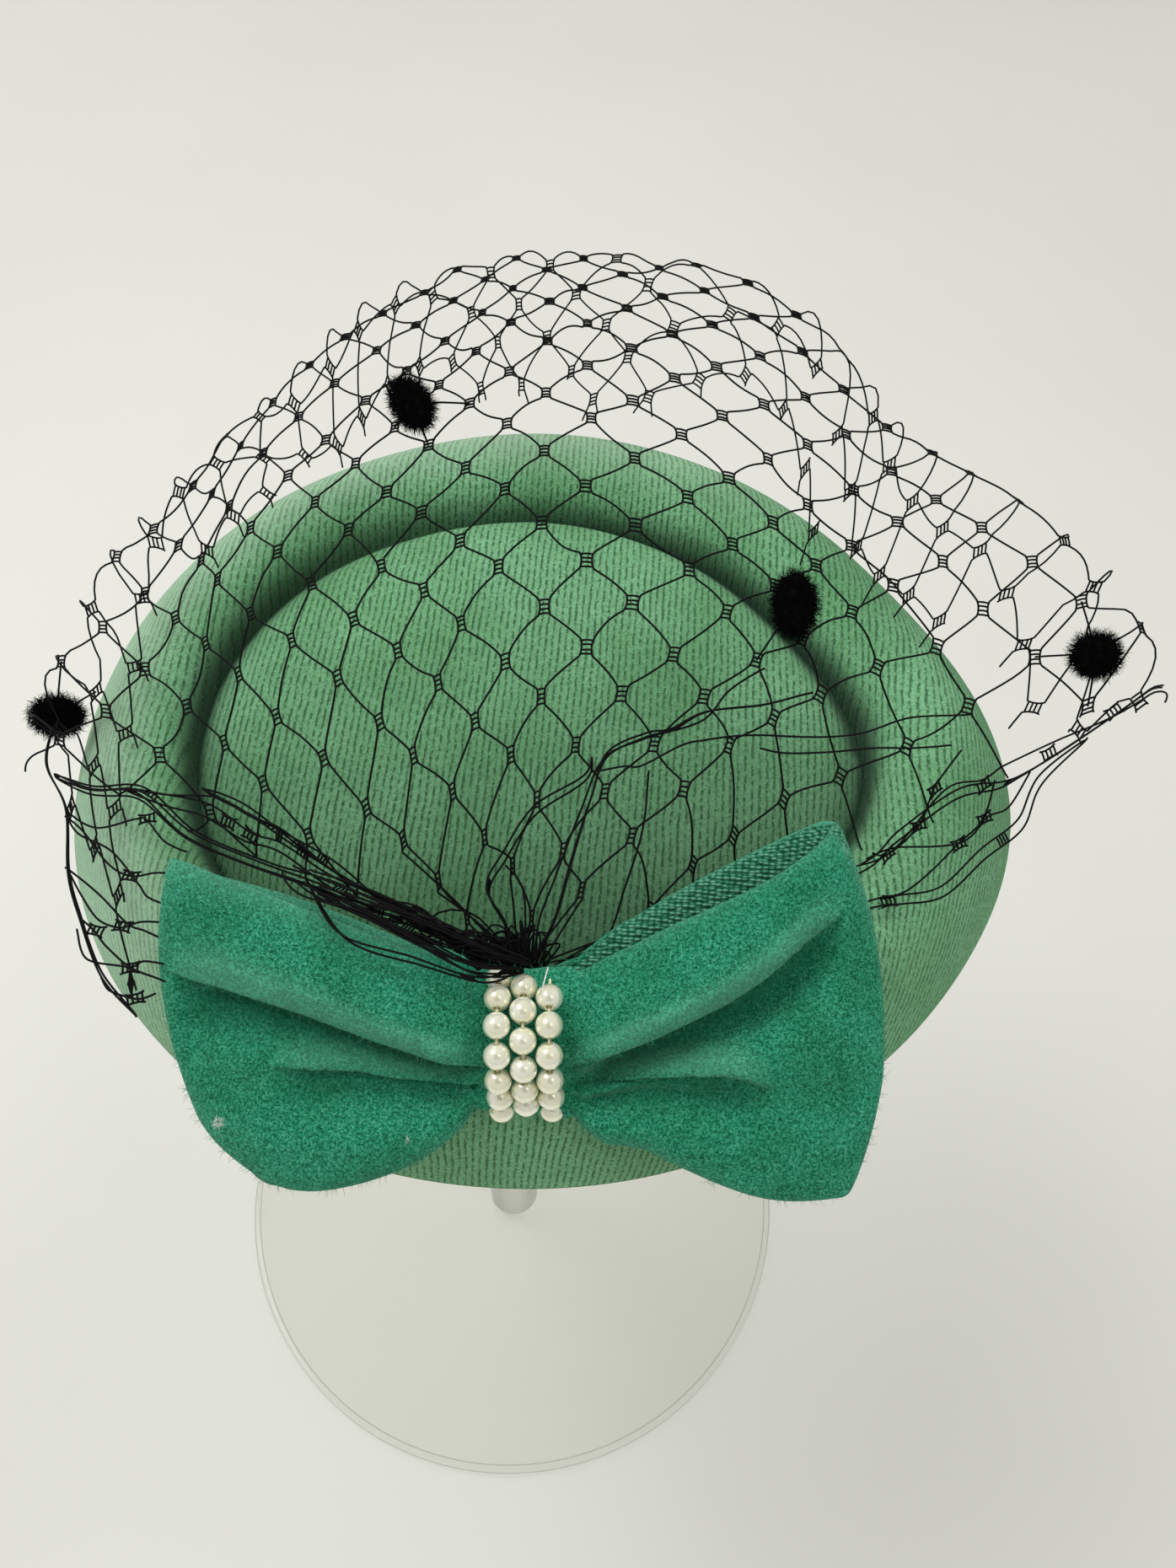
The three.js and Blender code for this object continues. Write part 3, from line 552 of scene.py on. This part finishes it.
# specks of white lint caught on the pile: places across and up the bow, out of it, and sizes, in mm; each
# has a core of a share of its size, and fibres
lint = {"spots": [((-45.3, -14.7, 5.2), 0.75), ((-16.1, -14.4, 7.0), 0.3)], "core": 0.6,
        "hairs": 4.0e7, "length": 0.0009, "radius": 0.00006}
print("lint")
lintFibre = mottledMaterial("white_cotton_lint", {"Roughness": 0.9}, {"Scale": 4000.0},
                            [(0.3, "a9bdb0"), (0.7, "e6ebe4")])
work = bmesh.new()
for place, size in lint["spots"]:
    middle = Matrix.Translation(Vector(bowPlace(*place)) * mm)
    bmesh.ops.create_icosphere(work, subdivisions=1, radius=size * mm * lint["core"], matrix=middle)
lintMesh = bpy.data.meshes.new("lint")
work.to_mesh(lintMesh)
work.free()
addHairs("lint_specks", lintMesh, "bow_wool", Density=lint["hairs"], Length=lint["length"],
         Radius=lint["radius"], Seed=5, Finish=lintFibre, Bends=2)

# pearls: moulded plastic beads with a pearl coat, threaded on three strands; the drilled hole is left open
pearls = {"radius": 2.1, "hole": 0.5, "rings": 14, "sides": 28,
          "numbers": {"left": 7, "middle": 6, "right": 6},
          "tilt": {"left": (0, -3.5, 4), "middle": (0, -1.5, 1.5), "right": (0, -2, 2)}}
print("pearls")
pearlCoat = mottledMaterial(
    "pearl_coated_plastic", {"Roughness": 0.2, "Metallic": 0.5, "Coat Weight": 1.0, "Coat Roughness": 0.03,
                             "Coat IOR": 1.8, "IOR": 1.5},
    {"Scale": 260.0}, [(0.35, "f7f5d6"), (0.65, "ffffee")])
start = math.asin(pearls["hole"] / pearls["radius"])
angles = [start + (math.pi - 2 * start) * i / pearls["rings"] for i in range(pearls["rings"] + 1)]
profile = [(pearls["radius"] * math.sin(a), -pearls["radius"] * math.cos(a)) for a in angles]
bead = lathe("bead_pattern", profile, pearls["sides"], closed=True)

beadTree, inputs = nodeTree("beads", [("Bead", "Object"), ("Finish", "Material")])
onThread = addNode(beadTree, "GeometryNodeMeshToPoints", {"Mesh": inputs["Geometry"]})
heading = addNode(beadTree, "GeometryNodeInputNamedAttribute", {"Name": "heading"}, data_type="FLOAT_VECTOR")
aligned = addNode(beadTree, "FunctionNodeAlignRotationToVector", {"Vector": heading.outputs[0]}, axis="Z")
pattern = addNode(beadTree, "GeometryNodeObjectInfo", {"Object": inputs["Bead"]})
placed = addNode(beadTree, "GeometryNodeInstanceOnPoints", {
    "Points": onThread.outputs[0], "Instance": pattern.outputs["Geometry"], "Rotation": aligned.outputs[0]})
endTree(beadTree, placed.outputs[0], inputs["Finish"])
for label, number in pearls["numbers"].items():
    names = [f"pearl_{label}_{i + 1}" for i in range(number)]
    centres = [sum(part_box(n), Vector()) / 2 for n in names]
    headings = [centres[min(i + 1, number - 1)] - centres[max(i - 1, 0)] for i in range(number)]
    headings[0] += Vector(pearls["tilt"][label]) * mm
    places = drawnPiece("pearls_" + label, centres)
    setAttribute(places.data, "heading", headings, "FLOAT_VECTOR")
    dress(grown(places, beadTree, Bead=bead, Finish=pearlCoat), None, names)
bpy.data.objects.remove(bead)

print("beading threads")
threadFinish = mottledMaterial("polyester_beading_thread", {"Roughness": 0.6}, {"Scale": 4000.0},
                               [(0.3, "d9cf9e"), (0.7, "efe7c4")])
for label in pearls["numbers"]:
    strand = smoothed(mergedCopy("pearl_thread_" + label, "beading_thread_" + label), 1)
    dress(strand, threadFinish, ["pearl_thread_" + label])

# a loose end of white sewing thread at the top of the right strand: across, up and out of the bow, mm
looseEnd = {"path": [(2.3, 10.4, 9.8), (2.4, 11.4, 9.4), (2.6, 12.5, 8.5), (2.8, 13.5, 7.0)],
            "radius": 0.00012, "sides": 6}
print("loose thread")
path = [Vector(bowPlace(*place)) * mm for place in looseEnd["path"]]
threadTree, inputs = nodeTree("threads", [("Radius", "Float"), ("Sides", "Int"), ("Finish", "Material")])
paths = addNode(threadTree, "GeometryNodeMeshToCurve", {"Mesh": inputs["Geometry"]})
ring = addNode(threadTree, "GeometryNodeCurvePrimitiveCircle", {
    "Resolution": inputs["Sides"], "Radius": inputs["Radius"]})
spun = addNode(threadTree, "GeometryNodeCurveToMesh", {
    "Curve": paths.outputs[0], "Profile Curve": ring.outputs[0], "Fill Caps": True})
endTree(threadTree, spun.outputs[0], inputs["Finish"])
loose = drawnPiece("loose_thread", path, [(i, i + 1) for i in range(len(path) - 1)])
loose = grown(loose, threadTree, Radius=looseEnd["radius"], Sides=looseEnd["sides"], Finish=lintFibre)
dress(loose, None)

# veil: a stiff net of single threads, fanned from its gather over the crown, then folded back
net = {
    "gather": (2.8, -62.4, 29.5), "foldRadius": 5, "tip": 2, "crestShare": 0.55,
    "radius": 0.185, "knotHeight": 3.0, "rungs": 4, "steps": 7, "sides": 5, "ease": 0.06,
    "columns": (-10, 31), "rows": (0, 26), "jitter": 0.45, "bunch": 3.0, "limits": (-67, 59),
    "pinch": 0.71, "pinchFrom": 60, "tangle": 90, "longest": 15, "tie": 14, "ladder": 0.7, "seed": 11,
    # where the first knots may lie, half a knot in rows, how far out its strands and rungs reach (shares of
    # its half width), and the longest rung
    "hub": 9, "knotRows": 0.18, "flare": 1.25, "rungReach": 0.97, "rungLongest": 2.4,
    # the lowest knots hang on the gather this near to it, and on nothing farther off than the second distance
    "near": 30, "far": 100,
}
# meridians of the fan from left to right, as in the solid: bearing, reach, height of the fold and of the
# crest, turn, then the part folded back: its length, turn, height of its edge, and share of the length
fan = np.array([
    [-69, 96, 28, 32, 0, 57, -38, 19, 1],
    [-58, 105, 31, 40, 0, 44, -30, 21, 0.55],
    [-46, 114, 37, 48, 0, 30, -14, 24, 0.3],
    [-30, 125, 44, 56, 0, 26, 0, 24, 0.4],
    [-15, 150, 46, 59, 0, 26, 0, 25, 0.7],
    [0, 159, 47, 60, 0, 24, 0, 26, 1],
    [14, 155, 47, 59, 0, 20, 0, 27, 1],
    [28, 131, 46, 56, 4, 24, 8, 26, 1],
    [40, 129, 46, 53, 8, 28, 14, 26, 0.75],
    [52, 127, 45, 40, 5, 28, 20, 27, 0.65],
    [61, 121, 42, 21, 15, 26, 24, 28, 0.5]])
# how the net lies, column by column: place of the column across the fan, its lean per half row,
# height of its eighth half row, and length of a half row, all in mm from the gather
drape = np.array([
    [-12, -182, -0.6, 68, 8.5],
    [-8, -150, -0.5, 69, 8.4],
    [-4, -108, -1.2, 62, 8.6],
    [0, -71, -0.8, 48, 7.8],
    [4, -52, -1, 54, 8.9],
    [8, -29.5, -0.4, 59.5, 7.9],
    [12, -3.5, -0.6, 70, 7.6],
    [16, 28, -0.6, 70, 7.3],
    [20, 56, 0.3, 67, 7.6],
    [24, 91, -0.2, 75, 9],
    [28, 133, -1, 96, 8.2],
    [32, 184, -1, 110, 8.2]])

print("veil")
finePlaces = np.linspace(0, len(fan) - 1, 401)
fineFan = cubicRows(fan, finePlaces)


def onNet(x, y, bunched=True):
    x, y = np.asarray(x, float), np.asarray(y, float)
    distance = np.hypot(x, y)
    bearing = np.degrees(np.arctan2(x, y))
    if bunched:  # the outermost threads bunch together at the sides
        soft = net["bunch"]
        for sign, limit in zip((-1, 1), net["limits"]):
            beyond = (bearing - limit) * sign
            bearing = np.where(beyond > 0, limit + sign * soft * (1 - np.exp(-beyond / soft)), bearing)
    straight = bearing.copy()
    for _ in range(6):
        place = np.interp(straight, fineFan[:, 0], finePlaces)
        row = cubicRows(fan, place)
        straight = bearing - row[..., 4] * np.clip(1 - distance / row[..., 1], 0, 1) ** 1.5
    reach, fold, crest, _, back, turnBack, edge, backShare = (row[..., i] for i in range(1, 9))
    radius, tip = net["foldRadius"], net["tip"]
    top = reach - radius
    share = np.clip((distance - tip) / (top - tip), 0, 1)
    climb = np.sin(np.minimum(share / net["crestShare"], 1) * np.pi / 2) ** 0.8
    sink = np.clip((share - net["crestShare"]) / (1 - net["crestShare"]), 0, None) ** 2
    lift = net["gather"][2] + (crest - net["gather"][2]) * climb - (crest - fold) * sink
    wrap = np.clip(distance - top, 0, math.pi * radius) / radius
    past = np.clip(distance - top - math.pi * radius, 0, None)
    b = np.radians(bearing)
    out = np.minimum(distance, top) + radius * np.sin(wrap)
    home = np.radians(bearing + 180 - turnBack)
    px = net["gather"][0] + np.sin(b) * out + np.sin(home) * past
    py = net["gather"][1] + np.cos(b) * out + np.cos(home) * past
    pz = lift - radius * (1 - np.cos(wrap)) + (edge - fold + 2 * radius) / back * past
    left = top + math.pi * radius + back * backShare - distance
    return np.stack([px, py, pz], -1) + np.array(hatCentre), left


def netPlace(column, row):
    c = cubicRows(drape, (np.asarray(column, float) + 12) / 4)
    rise = np.asarray(row, float) - 8
    x, y = c[..., 1] + c[..., 2] * rise, c[..., 3] + c[..., 4] * rise
    near = np.clip(1 - y / net["pinchFrom"], 0, 1.3)
    return x * (1 - net["pinch"] * near * hill(x, 60)), y


def netSpots(columns, rows):
    return onNet(*netPlace(columns, rows))


random.seed(net["seed"])
points, edges = [], []


def addThread(spots):
    first = len(points)
    points.extend(tuple(s) for s in spots)
    edges.extend((first + i, first + i + 1) for i in range(len(spots) - 1))


def unit(v):
    return v / max(np.linalg.norm(v), 1e-9)


knots = {}
for column in range(*net["columns"]):
    for row in range(*net["rows"]):
        if (column + row) % 2:
            continue
        x, y = netPlace(column, row)
        left = netSpots(column, row)[1]
        bearing = math.degrees(math.atan2(x, y))
        if left < 0 or math.hypot(x, y) < net["hub"] or not net["limits"][0] < bearing < net["limits"][1]:
            continue
        c, r = column + random.uniform(-0.08, 0.08), row + random.uniform(-0.1, 0.1)
        middle = netSpots(c, r)[0]
        side = netSpots(c + 0.1, r)[0] - netSpots(c - 0.1, r)[0]
        up = netSpots(c, r + 0.1)[0] - netSpots(c, r - 0.1)[0]
        wide = np.clip(np.linalg.norm(side) * 0.55 * random.uniform(0.85, 1.15), 0.5, 1.0)
        wide *= min(1, 0.4 + math.hypot(x, y) / 60)
        knots[column, row] = {"c": c, "r": r, "middle": middle, "side": unit(side) * wide,
                              "up": unit(up) * net["knotHeight"] / 2}


def knotEnd(knot, side, up):
    return knot["middle"] + knot["side"] * side * net["flare"] + knot["up"] * up


for (column, row), knot in knots.items():
    # two short strands side by side with rungs between them
    for side in (-1, 1):
        addThread([knot["middle"] + knot["side"] * side * reach + knot["up"] * u
                   for reach, u in zip((net["flare"], 1.0, 0.95, 1.0, net["flare"]), np.linspace(-1, 1, 5))])
    for i in range(net["rungs"]):
        u = (2 * i / (net["rungs"] - 1) - 1) * 0.8 + random.uniform(-0.05, 0.05)
        across, rung = knot["middle"] + knot["up"] * u, knot["side"] * net["rungReach"]
        addThread([across - rung, across + (0, 0, 0.1), across + rung])
    # slanting threads up to the next knots, or a cut end where the net stops
    for side in (-1, 1):
        above = knots.get((column + side, row + 1))
        start = knotEnd(knot, side, 1)
        t = np.linspace(0, 1, net["steps"])
        if above is None:
            # joins the bunched threads at a side, or is cut where the net stops
            bearing = math.degrees(math.atan2(*netPlace(column + side, row + 1)))
            atSide = not net["limits"][0] < bearing < net["limits"][1]
            reachOut = 1 if atSide else random.uniform(0.1, 0.35)
            cc, rr = knot["c"] + side * reachOut * t, knot["r"] + net["knotRows"] + reachOut * t
            path, left = netSpots(cc, rr)
            if not atSide and left[-1] > 6:
                continue
            path += (1 - t)[:, None] * (start - path[0])
        else:
            end = knotEnd(above, -side, -1)
            ease = (1 - net["ease"]) * t + net["ease"] * (3 * t ** 2 - 2 * t ** 3)
            cc = knot["c"] + (above["c"] - knot["c"]) * ease
            rr = knot["r"] + net["knotRows"] + (above["r"] - knot["r"] - 2 * net["knotRows"]) * t
            path = netSpots(cc, rr)[0]
            path += (1 - t)[:, None] * (start - path[0]) + t[:, None] * (end - path[-1])
            path[:, 2] += random.gauss(0, net["jitter"]) * np.sin(np.pi * t)
            if np.linalg.norm(path[-1] - path[0]) > net["longest"]:
                continue
        addThread(path)
    # the lowest knots hang on threads: near the gather these run into it, farther off to the next place
    for side in (-1, 1):
        foot, beside = (np.array(netPlace(column + k, row - abs(k))).ravel() for k in (0, side))
        distance = np.linalg.norm(foot)
        if (column + side, row - 1) in knots or distance > net["far"]:
            continue
        t = np.linspace(0, 1, 12)[:, None]
        if distance < net["near"]:
            beside = np.array((random.gauss(0, 1.2), random.uniform(0, 2)))
        line = foot + (beside - foot) * t
        path = onNet(line[:, 0], line[:, 1], distance > net["near"])[0]
        path += (1 - t) ** 2 * (knotEnd(knot, side, -1) - path[0])
        addThread(path + np.sin(np.pi * t) * (0, 0, random.gauss(0, 0.4)))


def smoothPath(spots, count):
    places = np.linspace(0, len(spots) - 1, count)
    return cubicRows(np.asarray(spots, float), places)


def addLadder(x, y, bearing):
    # a loose knot: two short strands and their rungs, its length along the bearing
    b = math.radians(bearing)
    ahead = np.array((math.sin(b), math.cos(b)))
    middle, tip = (onNet(*(np.array((x, y)) + ahead * s), False)[0] for s in (0, 1))
    flank = onNet(x + ahead[1], y - ahead[0], False)[0]
    up, side = unit(tip - middle) * net["knotHeight"] / 2, unit(flank - middle) * net["ladder"]
    for k in (-1, 1):
        addThread([middle + side * k * flare + up * u
                   for flare, u in zip((1.4, 1, 1, 1.4), (-1, -0.4, 0.4, 1))])
    for u in (-0.75, -0.25, 0.25, 0.75):
        addThread([middle - side + up * u, middle + up * u + (0, 0, 0.1), middle + side + up * u])


def addRungs(lineA, lineB, first):
    for i in range(4):
        j = min(first + i, len(lineA) - 1, len(lineB) - 1)
        if np.linalg.norm(lineA[j] - lineB[j]) < net["rungLongest"]:
            addThread([lineA[j], (lineA[j] + lineB[j]) / 2 + (0, 0, 0.1), lineB[j]])


def addStrands(spots, count, spread, lift, onBow=False, ragged=0):
    # threads that run side by side, each a little wavy, with a few rungs from one to the next
    last = None
    for _ in range(count):
        line = smoothPath(spots, 14 * len(spots))
        t = np.linspace(0, 1, len(line))
        for axis in (0, 1):
            wave = sum(random.gauss(0, 1) / (k + 1) * np.sin(np.pi * (k + 1) * t) for k in range(4))
            line[:, axis] += wave * spread * 0.6 + random.gauss(0, 0.35) * spread * np.sin(np.pi * t) ** 0.3
        if onBow:
            path = bowPlace(*line.T)
        else:
            path = onNet(line[:, 0], line[:, 1], False)[0]
            path[:, 2] += random.uniform(*lift) + random.gauss(0, 0.5) * np.sin(3 * t)
        path = path[int(random.uniform(0, ragged) * len(path)):]
        addThread(path)
        if last is not None:
            for _ in range(2):
                addRungs(last, path, random.randrange(len(path)))
        last = path


# threads drawn together along the sides, the pleat on the right, and the loose lower ones there:
# points across and up the net in mm, how many threads, their spread, and their lift
for strand in (
        # the left bundle, over the bow's top edge and on to the hat's edge
        ([(-3, 2), (-8, 4), (-16, 8), (-25, 10), (-34, 13), (-45, 16), (-56, 20), (-66, 27), (-75, 28),
          (-82, 31)], 4, 1.0, (-0.5, 1)),
        ([(-3, 2), (-11, 5), (-21, 9), (-31, 13), (-40, 18), (-46, 20), (-53, 24), (-61, 26), (-69, 28)],
         3, 1.2, (-0.5, 1)),
        ([(-3, 2), (-10, 6), (-20, 10), (-28, 14), (-36, 18), (-47, 24), (-55, 27)], 3, 1.0, (-0.5, 1)),
        ([(0, 1), (-8, 3), (-16, 6), (-25, 9), (-34, 12)], 7, 1.1, (-1, 1.5)),
        ([(0, 1), (-7, 4), (-14, 7), (-22, 10)], 7, 1.3, (-1, 1.5)),
        # the net's left edge, and what it throws across the hat to the bow
        ([(-85, 40), (-84, 33), (-78, 24), (-74, 12), (-70, 4), (-64, -6), (-57, -12)], 2, 0.5, (-0.3, 0.3)),
        ([(-78, 24), (-72, 21), (-66, 23), (-64, 23), (-60, 19), (-56, 17)], 1, 0.3, (0, 0.3)),
        ([(-78, 23), (-74, 20), (-68, 14), (-64, 12), (-60, 13), (-56, 13)], 1, 0.3, (0, 0.3)),
        ([(-77, 22), (-74, 19), (-68, 16), (-62, 10), (-60, 8), (-57, 7)], 1, 0.3, (0, 0.3)),
        ([(-74, 12), (-71, 8), (-67, 4), (-63, 3), (-60, 4), (-56, 4)], 1, 0.3, (0, 0.3)),
        ([(-75, 13), (-68, 8), (-62, 3), (-59, 2), (-56, 1)], 1, 0.3, (0, 0.3)),
        ([(-70, 4), (-67, 2), (-64, -1), (-60, -4), (-58, -3), (-55, -3)], 1, 0.3, (0, 0.3)),
        ([(-70, 2), (-67, -3), (-60, -4), (-57, -5), (-54, -6)], 1, 0.3, (0, 0.3)),
        ([(-64, -6), (-62, -8), (-58, -9), (-55, -8)], 1, 0.3, (0, 0.3)),
        # the pleat, from the gather across to the right
        ([(1, 3), (4, 8), (6, 17), (8, 25), (10, 31), (16, 34), (20, 35), (25, 38), (34, 40), (42, 44)],
         2, 0.5, (0, 1)),
        ([(2, 3), (2, 8), (4, 14), (7, 23), (10, 31), (16, 34), (25, 37), (29, 42), (34, 46)],
         1, 0.5, (0, 1)),
        ([(8, 29), (13, 30), (16, 30), (22, 33), (26, 34), (38, 37), (50, 42), (60, 48), (71, 52)],
         1, 0.4, (0, 1)),
        ([(34, 34), (38, 35), (45, 38), (54, 42), (60, 44), (68, 47)], 1, 0.4, (0, 0.5)),
        ([(8, 31), (7, 28), (0, 23), (-4, 16), (-6, 11), (-3, 7), (-2, 3)], 2, 0.4, (0, 1)),
        ([(17, 29), (17, 21), (15, 13), (12, 7), (4, 3)], 1, 0.3, (0, 0.5)),
        ([(-4, 15), (-1, 12), (0, 6), (1, 3)], 1, 0.3, (0, 0.5)),
        # the right edge, and the loose lower threads there
        ([(108, 61), (98, 56), (88, 52), (79, 47), (75, 44), (68, 41), (59, 31), (48, 25), (32, 14), (18, 7),
          (4, 2)], 1, 0.5, (0, 1)),
        ([(104, 60), (92, 53), (82, 47), (78, 45), (70, 42), (60, 34), (55, 29), (41, 20), (32, 14), (18, 7),
          (4, 2)], 2, 0.5, (0, 1)),
        ([(92, 52), (85, 46), (82, 39), (76, 34), (69, 27), (62, 25), (58, 24), (49, 20), (38, 15), (24, 9),
          (4, 2)], 2, 0.6, (0, 1)),
        ([(83, 47), (80, 42), (76, 40), (72, 36), (60, 32), (55, 29)], 1, 0.3, (0, 0.5)),
        ([(70, 47), (66, 41), (64, 36), (59, 31), (56, 30)], 1, 0.3, (0, 0.5)),
        ([(77, 45), (76, 40), (72, 36), (64, 28), (59, 26)], 1, 0.3, (0, 0.5))):
    addStrands(*strand)
# loose knots on them: place across and up the net, and bearing
for ladder in (
        (-64, 23, 75), (-64, 12, 95), (-63, 3, 95), (-60, -4, 80), (-58, -9, 70), (-67, 2, 100),
        (-50, 22, 110), (-46, 20, 120), (75, 44, 50), (66, 41, 45), (64, 36, 60), (72, 36, 60),
        (76, 40, 60), (59, 31, 45), (60, 25, 75), (96, 56, 60), (86, 50, 60)):
    addLadder(*ladder)
# threads hang down over the top of the bow's left side: points across, up and out of the bow in mm, how
# many threads, their spread, and the share of their length by which they may start late
for spots, count, spread, ragged in (
        ([(-40, 24, -3), (-34, 21.5, 3), (-25, 20, 7), (-16, 16.3, 9), (-8, 13, 9), (-1, 12.6, 6)],
         6, 1.2, 0.6),
        ([(-40, 25, -3), (-34, 23, 0), (-25, 21, 5), (-15, 18, 7), (-6, 14.6, 7), (0, 13.6, 5)],
         6, 1.1, 0.55),
        ([(-35, 21.5, 0), (-28, 15.8, 7.5), (-17, 13.8, 8.8), (-7, 11.6, 8.8), (-2, 12.6, 6)], 2, 0.5, 0)):
    addStrands(spots, count, spread, (0, 0), onBow=True, ragged=ragged)
# the dense tangle where the net is stitched down
for _ in range(net["tangle"]):
    aim = math.radians(random.gauss(-45, 36))
    far = random.uniform(6, 15) * (1.35 if aim < -0.8 else 0.75)
    bend = random.gauss(0, 1.2)
    middle = (math.sin(aim) * far * 0.5 + bend, abs(math.cos(aim)) * far * 0.5 + random.uniform(0, 2))
    end = (math.sin(aim) * far, abs(math.cos(aim)) * far * 0.6)
    back = (math.sin(aim + 0.5) * 2, random.uniform(-1, 2))
    path = smoothPath([(random.gauss(0, 1.5), random.gauss(0, 1)), middle, end, back], 14)
    path = onNet(path[:, 0], path[:, 1], False)[0]
    path[:, 2] += random.uniform(-1.5, 2) * np.sin(np.linspace(0.3, 2.8, 14)) - 0.5
    addThread(path)

# each chenille dot is tied on to the knots next to it
for i in range(1, 5):
    middle = np.array(sum(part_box(f"chenille_dot_{i}"), Vector())) / 2 / mm
    for knot in sorted(knots.values(), key=lambda k: np.linalg.norm(k["middle"] - middle))[:3]:
        if np.linalg.norm(knot["middle"] - middle) < net["tie"]:
            addThread(smoothPath([knot["middle"], (knot["middle"] + middle) / 2 + (0, 0, 0.3), middle], 5))

nylon = mottledMaterial("black_nylon_net_thread", {"Roughness": 0.6, "Specular IOR Level": 0.15},
                        {"Scale": 3000.0}, [(0.3, "050506"), (0.7, "0c0c0d")])
veil = drawnPiece("net_veil", [tuple(np.array(p) * mm) for p in points], edges)
veil = grown(veil, threadTree, Radius=net["radius"] * mm, Sides=net["sides"], Finish=nylon)
dress(veil, None, ["veil"])

# chenille dots: black pile tufts tied on the net
chenille = {"hairs": 1.1e7, "length": 0.0018, "radius": 0.00007}
print("chenille dots")
pile = mottledMaterial("black_rayon_chenille", {"Roughness": 0.95, "Specular IOR Level": 0.1},
                       {"Scale": 1500.0}, [(0.3, "020202"), (0.7, "080808")])
for i in range(1, 5):
    core = smoothed(mergedCopy(f"chenille_dot_{i}", f"chenille_tuft_{i}"), 2)
    hairMesh = core.data.copy()
    dress(core, pile, [f"chenille_dot_{i}"])
    addHairs(f"chenille_hairs_{i}", hairMesh, "chenille", Density=chenille["hairs"],
             Length=chenille["length"], Radius=chenille["radius"], Seed=20 + i, Finish=pile, Bends=2)

# comb: moulded plastic, sewn inside the far wall
combSet = {"bevel": 0.0003, "segments": 2}
print("comb")
combPlastic = mottledMaterial("moulded_black_plastic", {"Roughness": 0.35}, {"Scale": 900.0},
                              [(0.3, "101010"), (0.7, "181818")])
comb = mergedCopy("hair_comb", "moulded_comb")
bevel = comb.modifiers.new("Round", "BEVEL")
bevel.width, bevel.segments = combSet["bevel"], combSet["segments"]
dress(settle(comb), combPlastic, ["hair_comb"])

# stand: clear cast acrylic with polished edges
stand = {"sides": 128, "round": 0.8, "band": 2.1, "bandHalf": 0.25}
print("stand")
acrylic, tree, shader = newMaterial("clear_cast_acrylic", {"Roughness": 0.03, "IOR": 1.49, "Metallic": 1.0})
# what is behind shows straight through; the surface mirrors more and more towards its edges
facing = addNode(tree, "ShaderNodeLayerWeight", {"Blend": 0.5}).outputs["Facing"]
mirror = addNode(tree, "ShaderNodeValToRGB", {"Fac": facing},
                 stops=[(0.0, "202020"), (0.6, "242424"), (0.85, "6e6e6e"), (1.0, "c8c8c8")]).outputs[0]
tint = addNode(tree, "ShaderNodeValToRGB", {"Fac": facing},
               stops=[(0.0, "fdfdfc"), (0.7, "fcfcfb"), (1.0, "9ba19a")])
# painted refraction: the darker ring where the polished edge shows through
paintedEdgeRing = addNode(tree, "ShaderNodeAttribute", attribute_name="paintedEdgeRing").outputs["Fac"]
paintedRingTint = addNode(tree, "ShaderNodeMix", {0: paintedEdgeRing, 6: tint.outputs[0], 7: srgb("c4c9c1")}, data_type="RGBA")
clear = addNode(tree, "ShaderNodeBsdfTransparent", {"Color": paintedRingTint.outputs[2]})
through = addNode(tree, "ShaderNodeMixShader", {0: mirror, 1: clear.outputs[0], 2: shader.outputs[0]})
output = next(n for n in tree.nodes if n.type == "OUTPUT_MATERIAL")
tree.links.new(through.outputs[0], output.inputs["Surface"])
spot = addNode(tree, "ShaderNodeTexCoord").outputs["Object"]
haze = addNode(tree, "ShaderNodeTexNoise", {"Vector": spot, "Scale": 40.0}).outputs[0]
tone = addNode(tree, "ShaderNodeValToRGB", {"Fac": haze}, stops=[(0.3, "f6f8f6"), (0.7, "fdfefd")])
tree.links.new(tone.outputs[0], shader.inputs["Base Color"])


def roundedDisc(radius, low, high, bend):
    turn = [(radius - bend + bend * math.sin(a), math.cos(a) * bend) for a in np.linspace(0, math.pi / 2, 5)]
    under = [(r, low + bend - h) for r, h in turn]
    over = [(r, high - bend + h) for r, h in reversed(turn)]
    inner = [(radius - stand["band"] - w, high) for w in (-stand["bandHalf"], 0, stand["bandHalf"])]
    return [(0, low)] + under + over + inner + [(0, high)]


for node, name in (("stand_base", "acrylic_base"), ("stand_post", "acrylic_post"),
                   ("stand_top_plate", "acrylic_plate")):
    low, high = (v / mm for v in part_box(node))
    part = lathe(name, roundedDisc(high.x, low.z, high.z, stand["round"]), stand["sides"])
    # the polished edge seen through the clear acrylic is painted in as a fine darker ring, a painted
    # refraction
    x, y = vertexArray(part.data).T[:2] / mm
    ring = np.abs(np.hypot(x, y) - (high.x - stand["band"])) < 0.1
    setAttribute(part.data, "paintedEdgeRing", ring & (node == "stand_base"))
    dress(part, acrylic, [node])
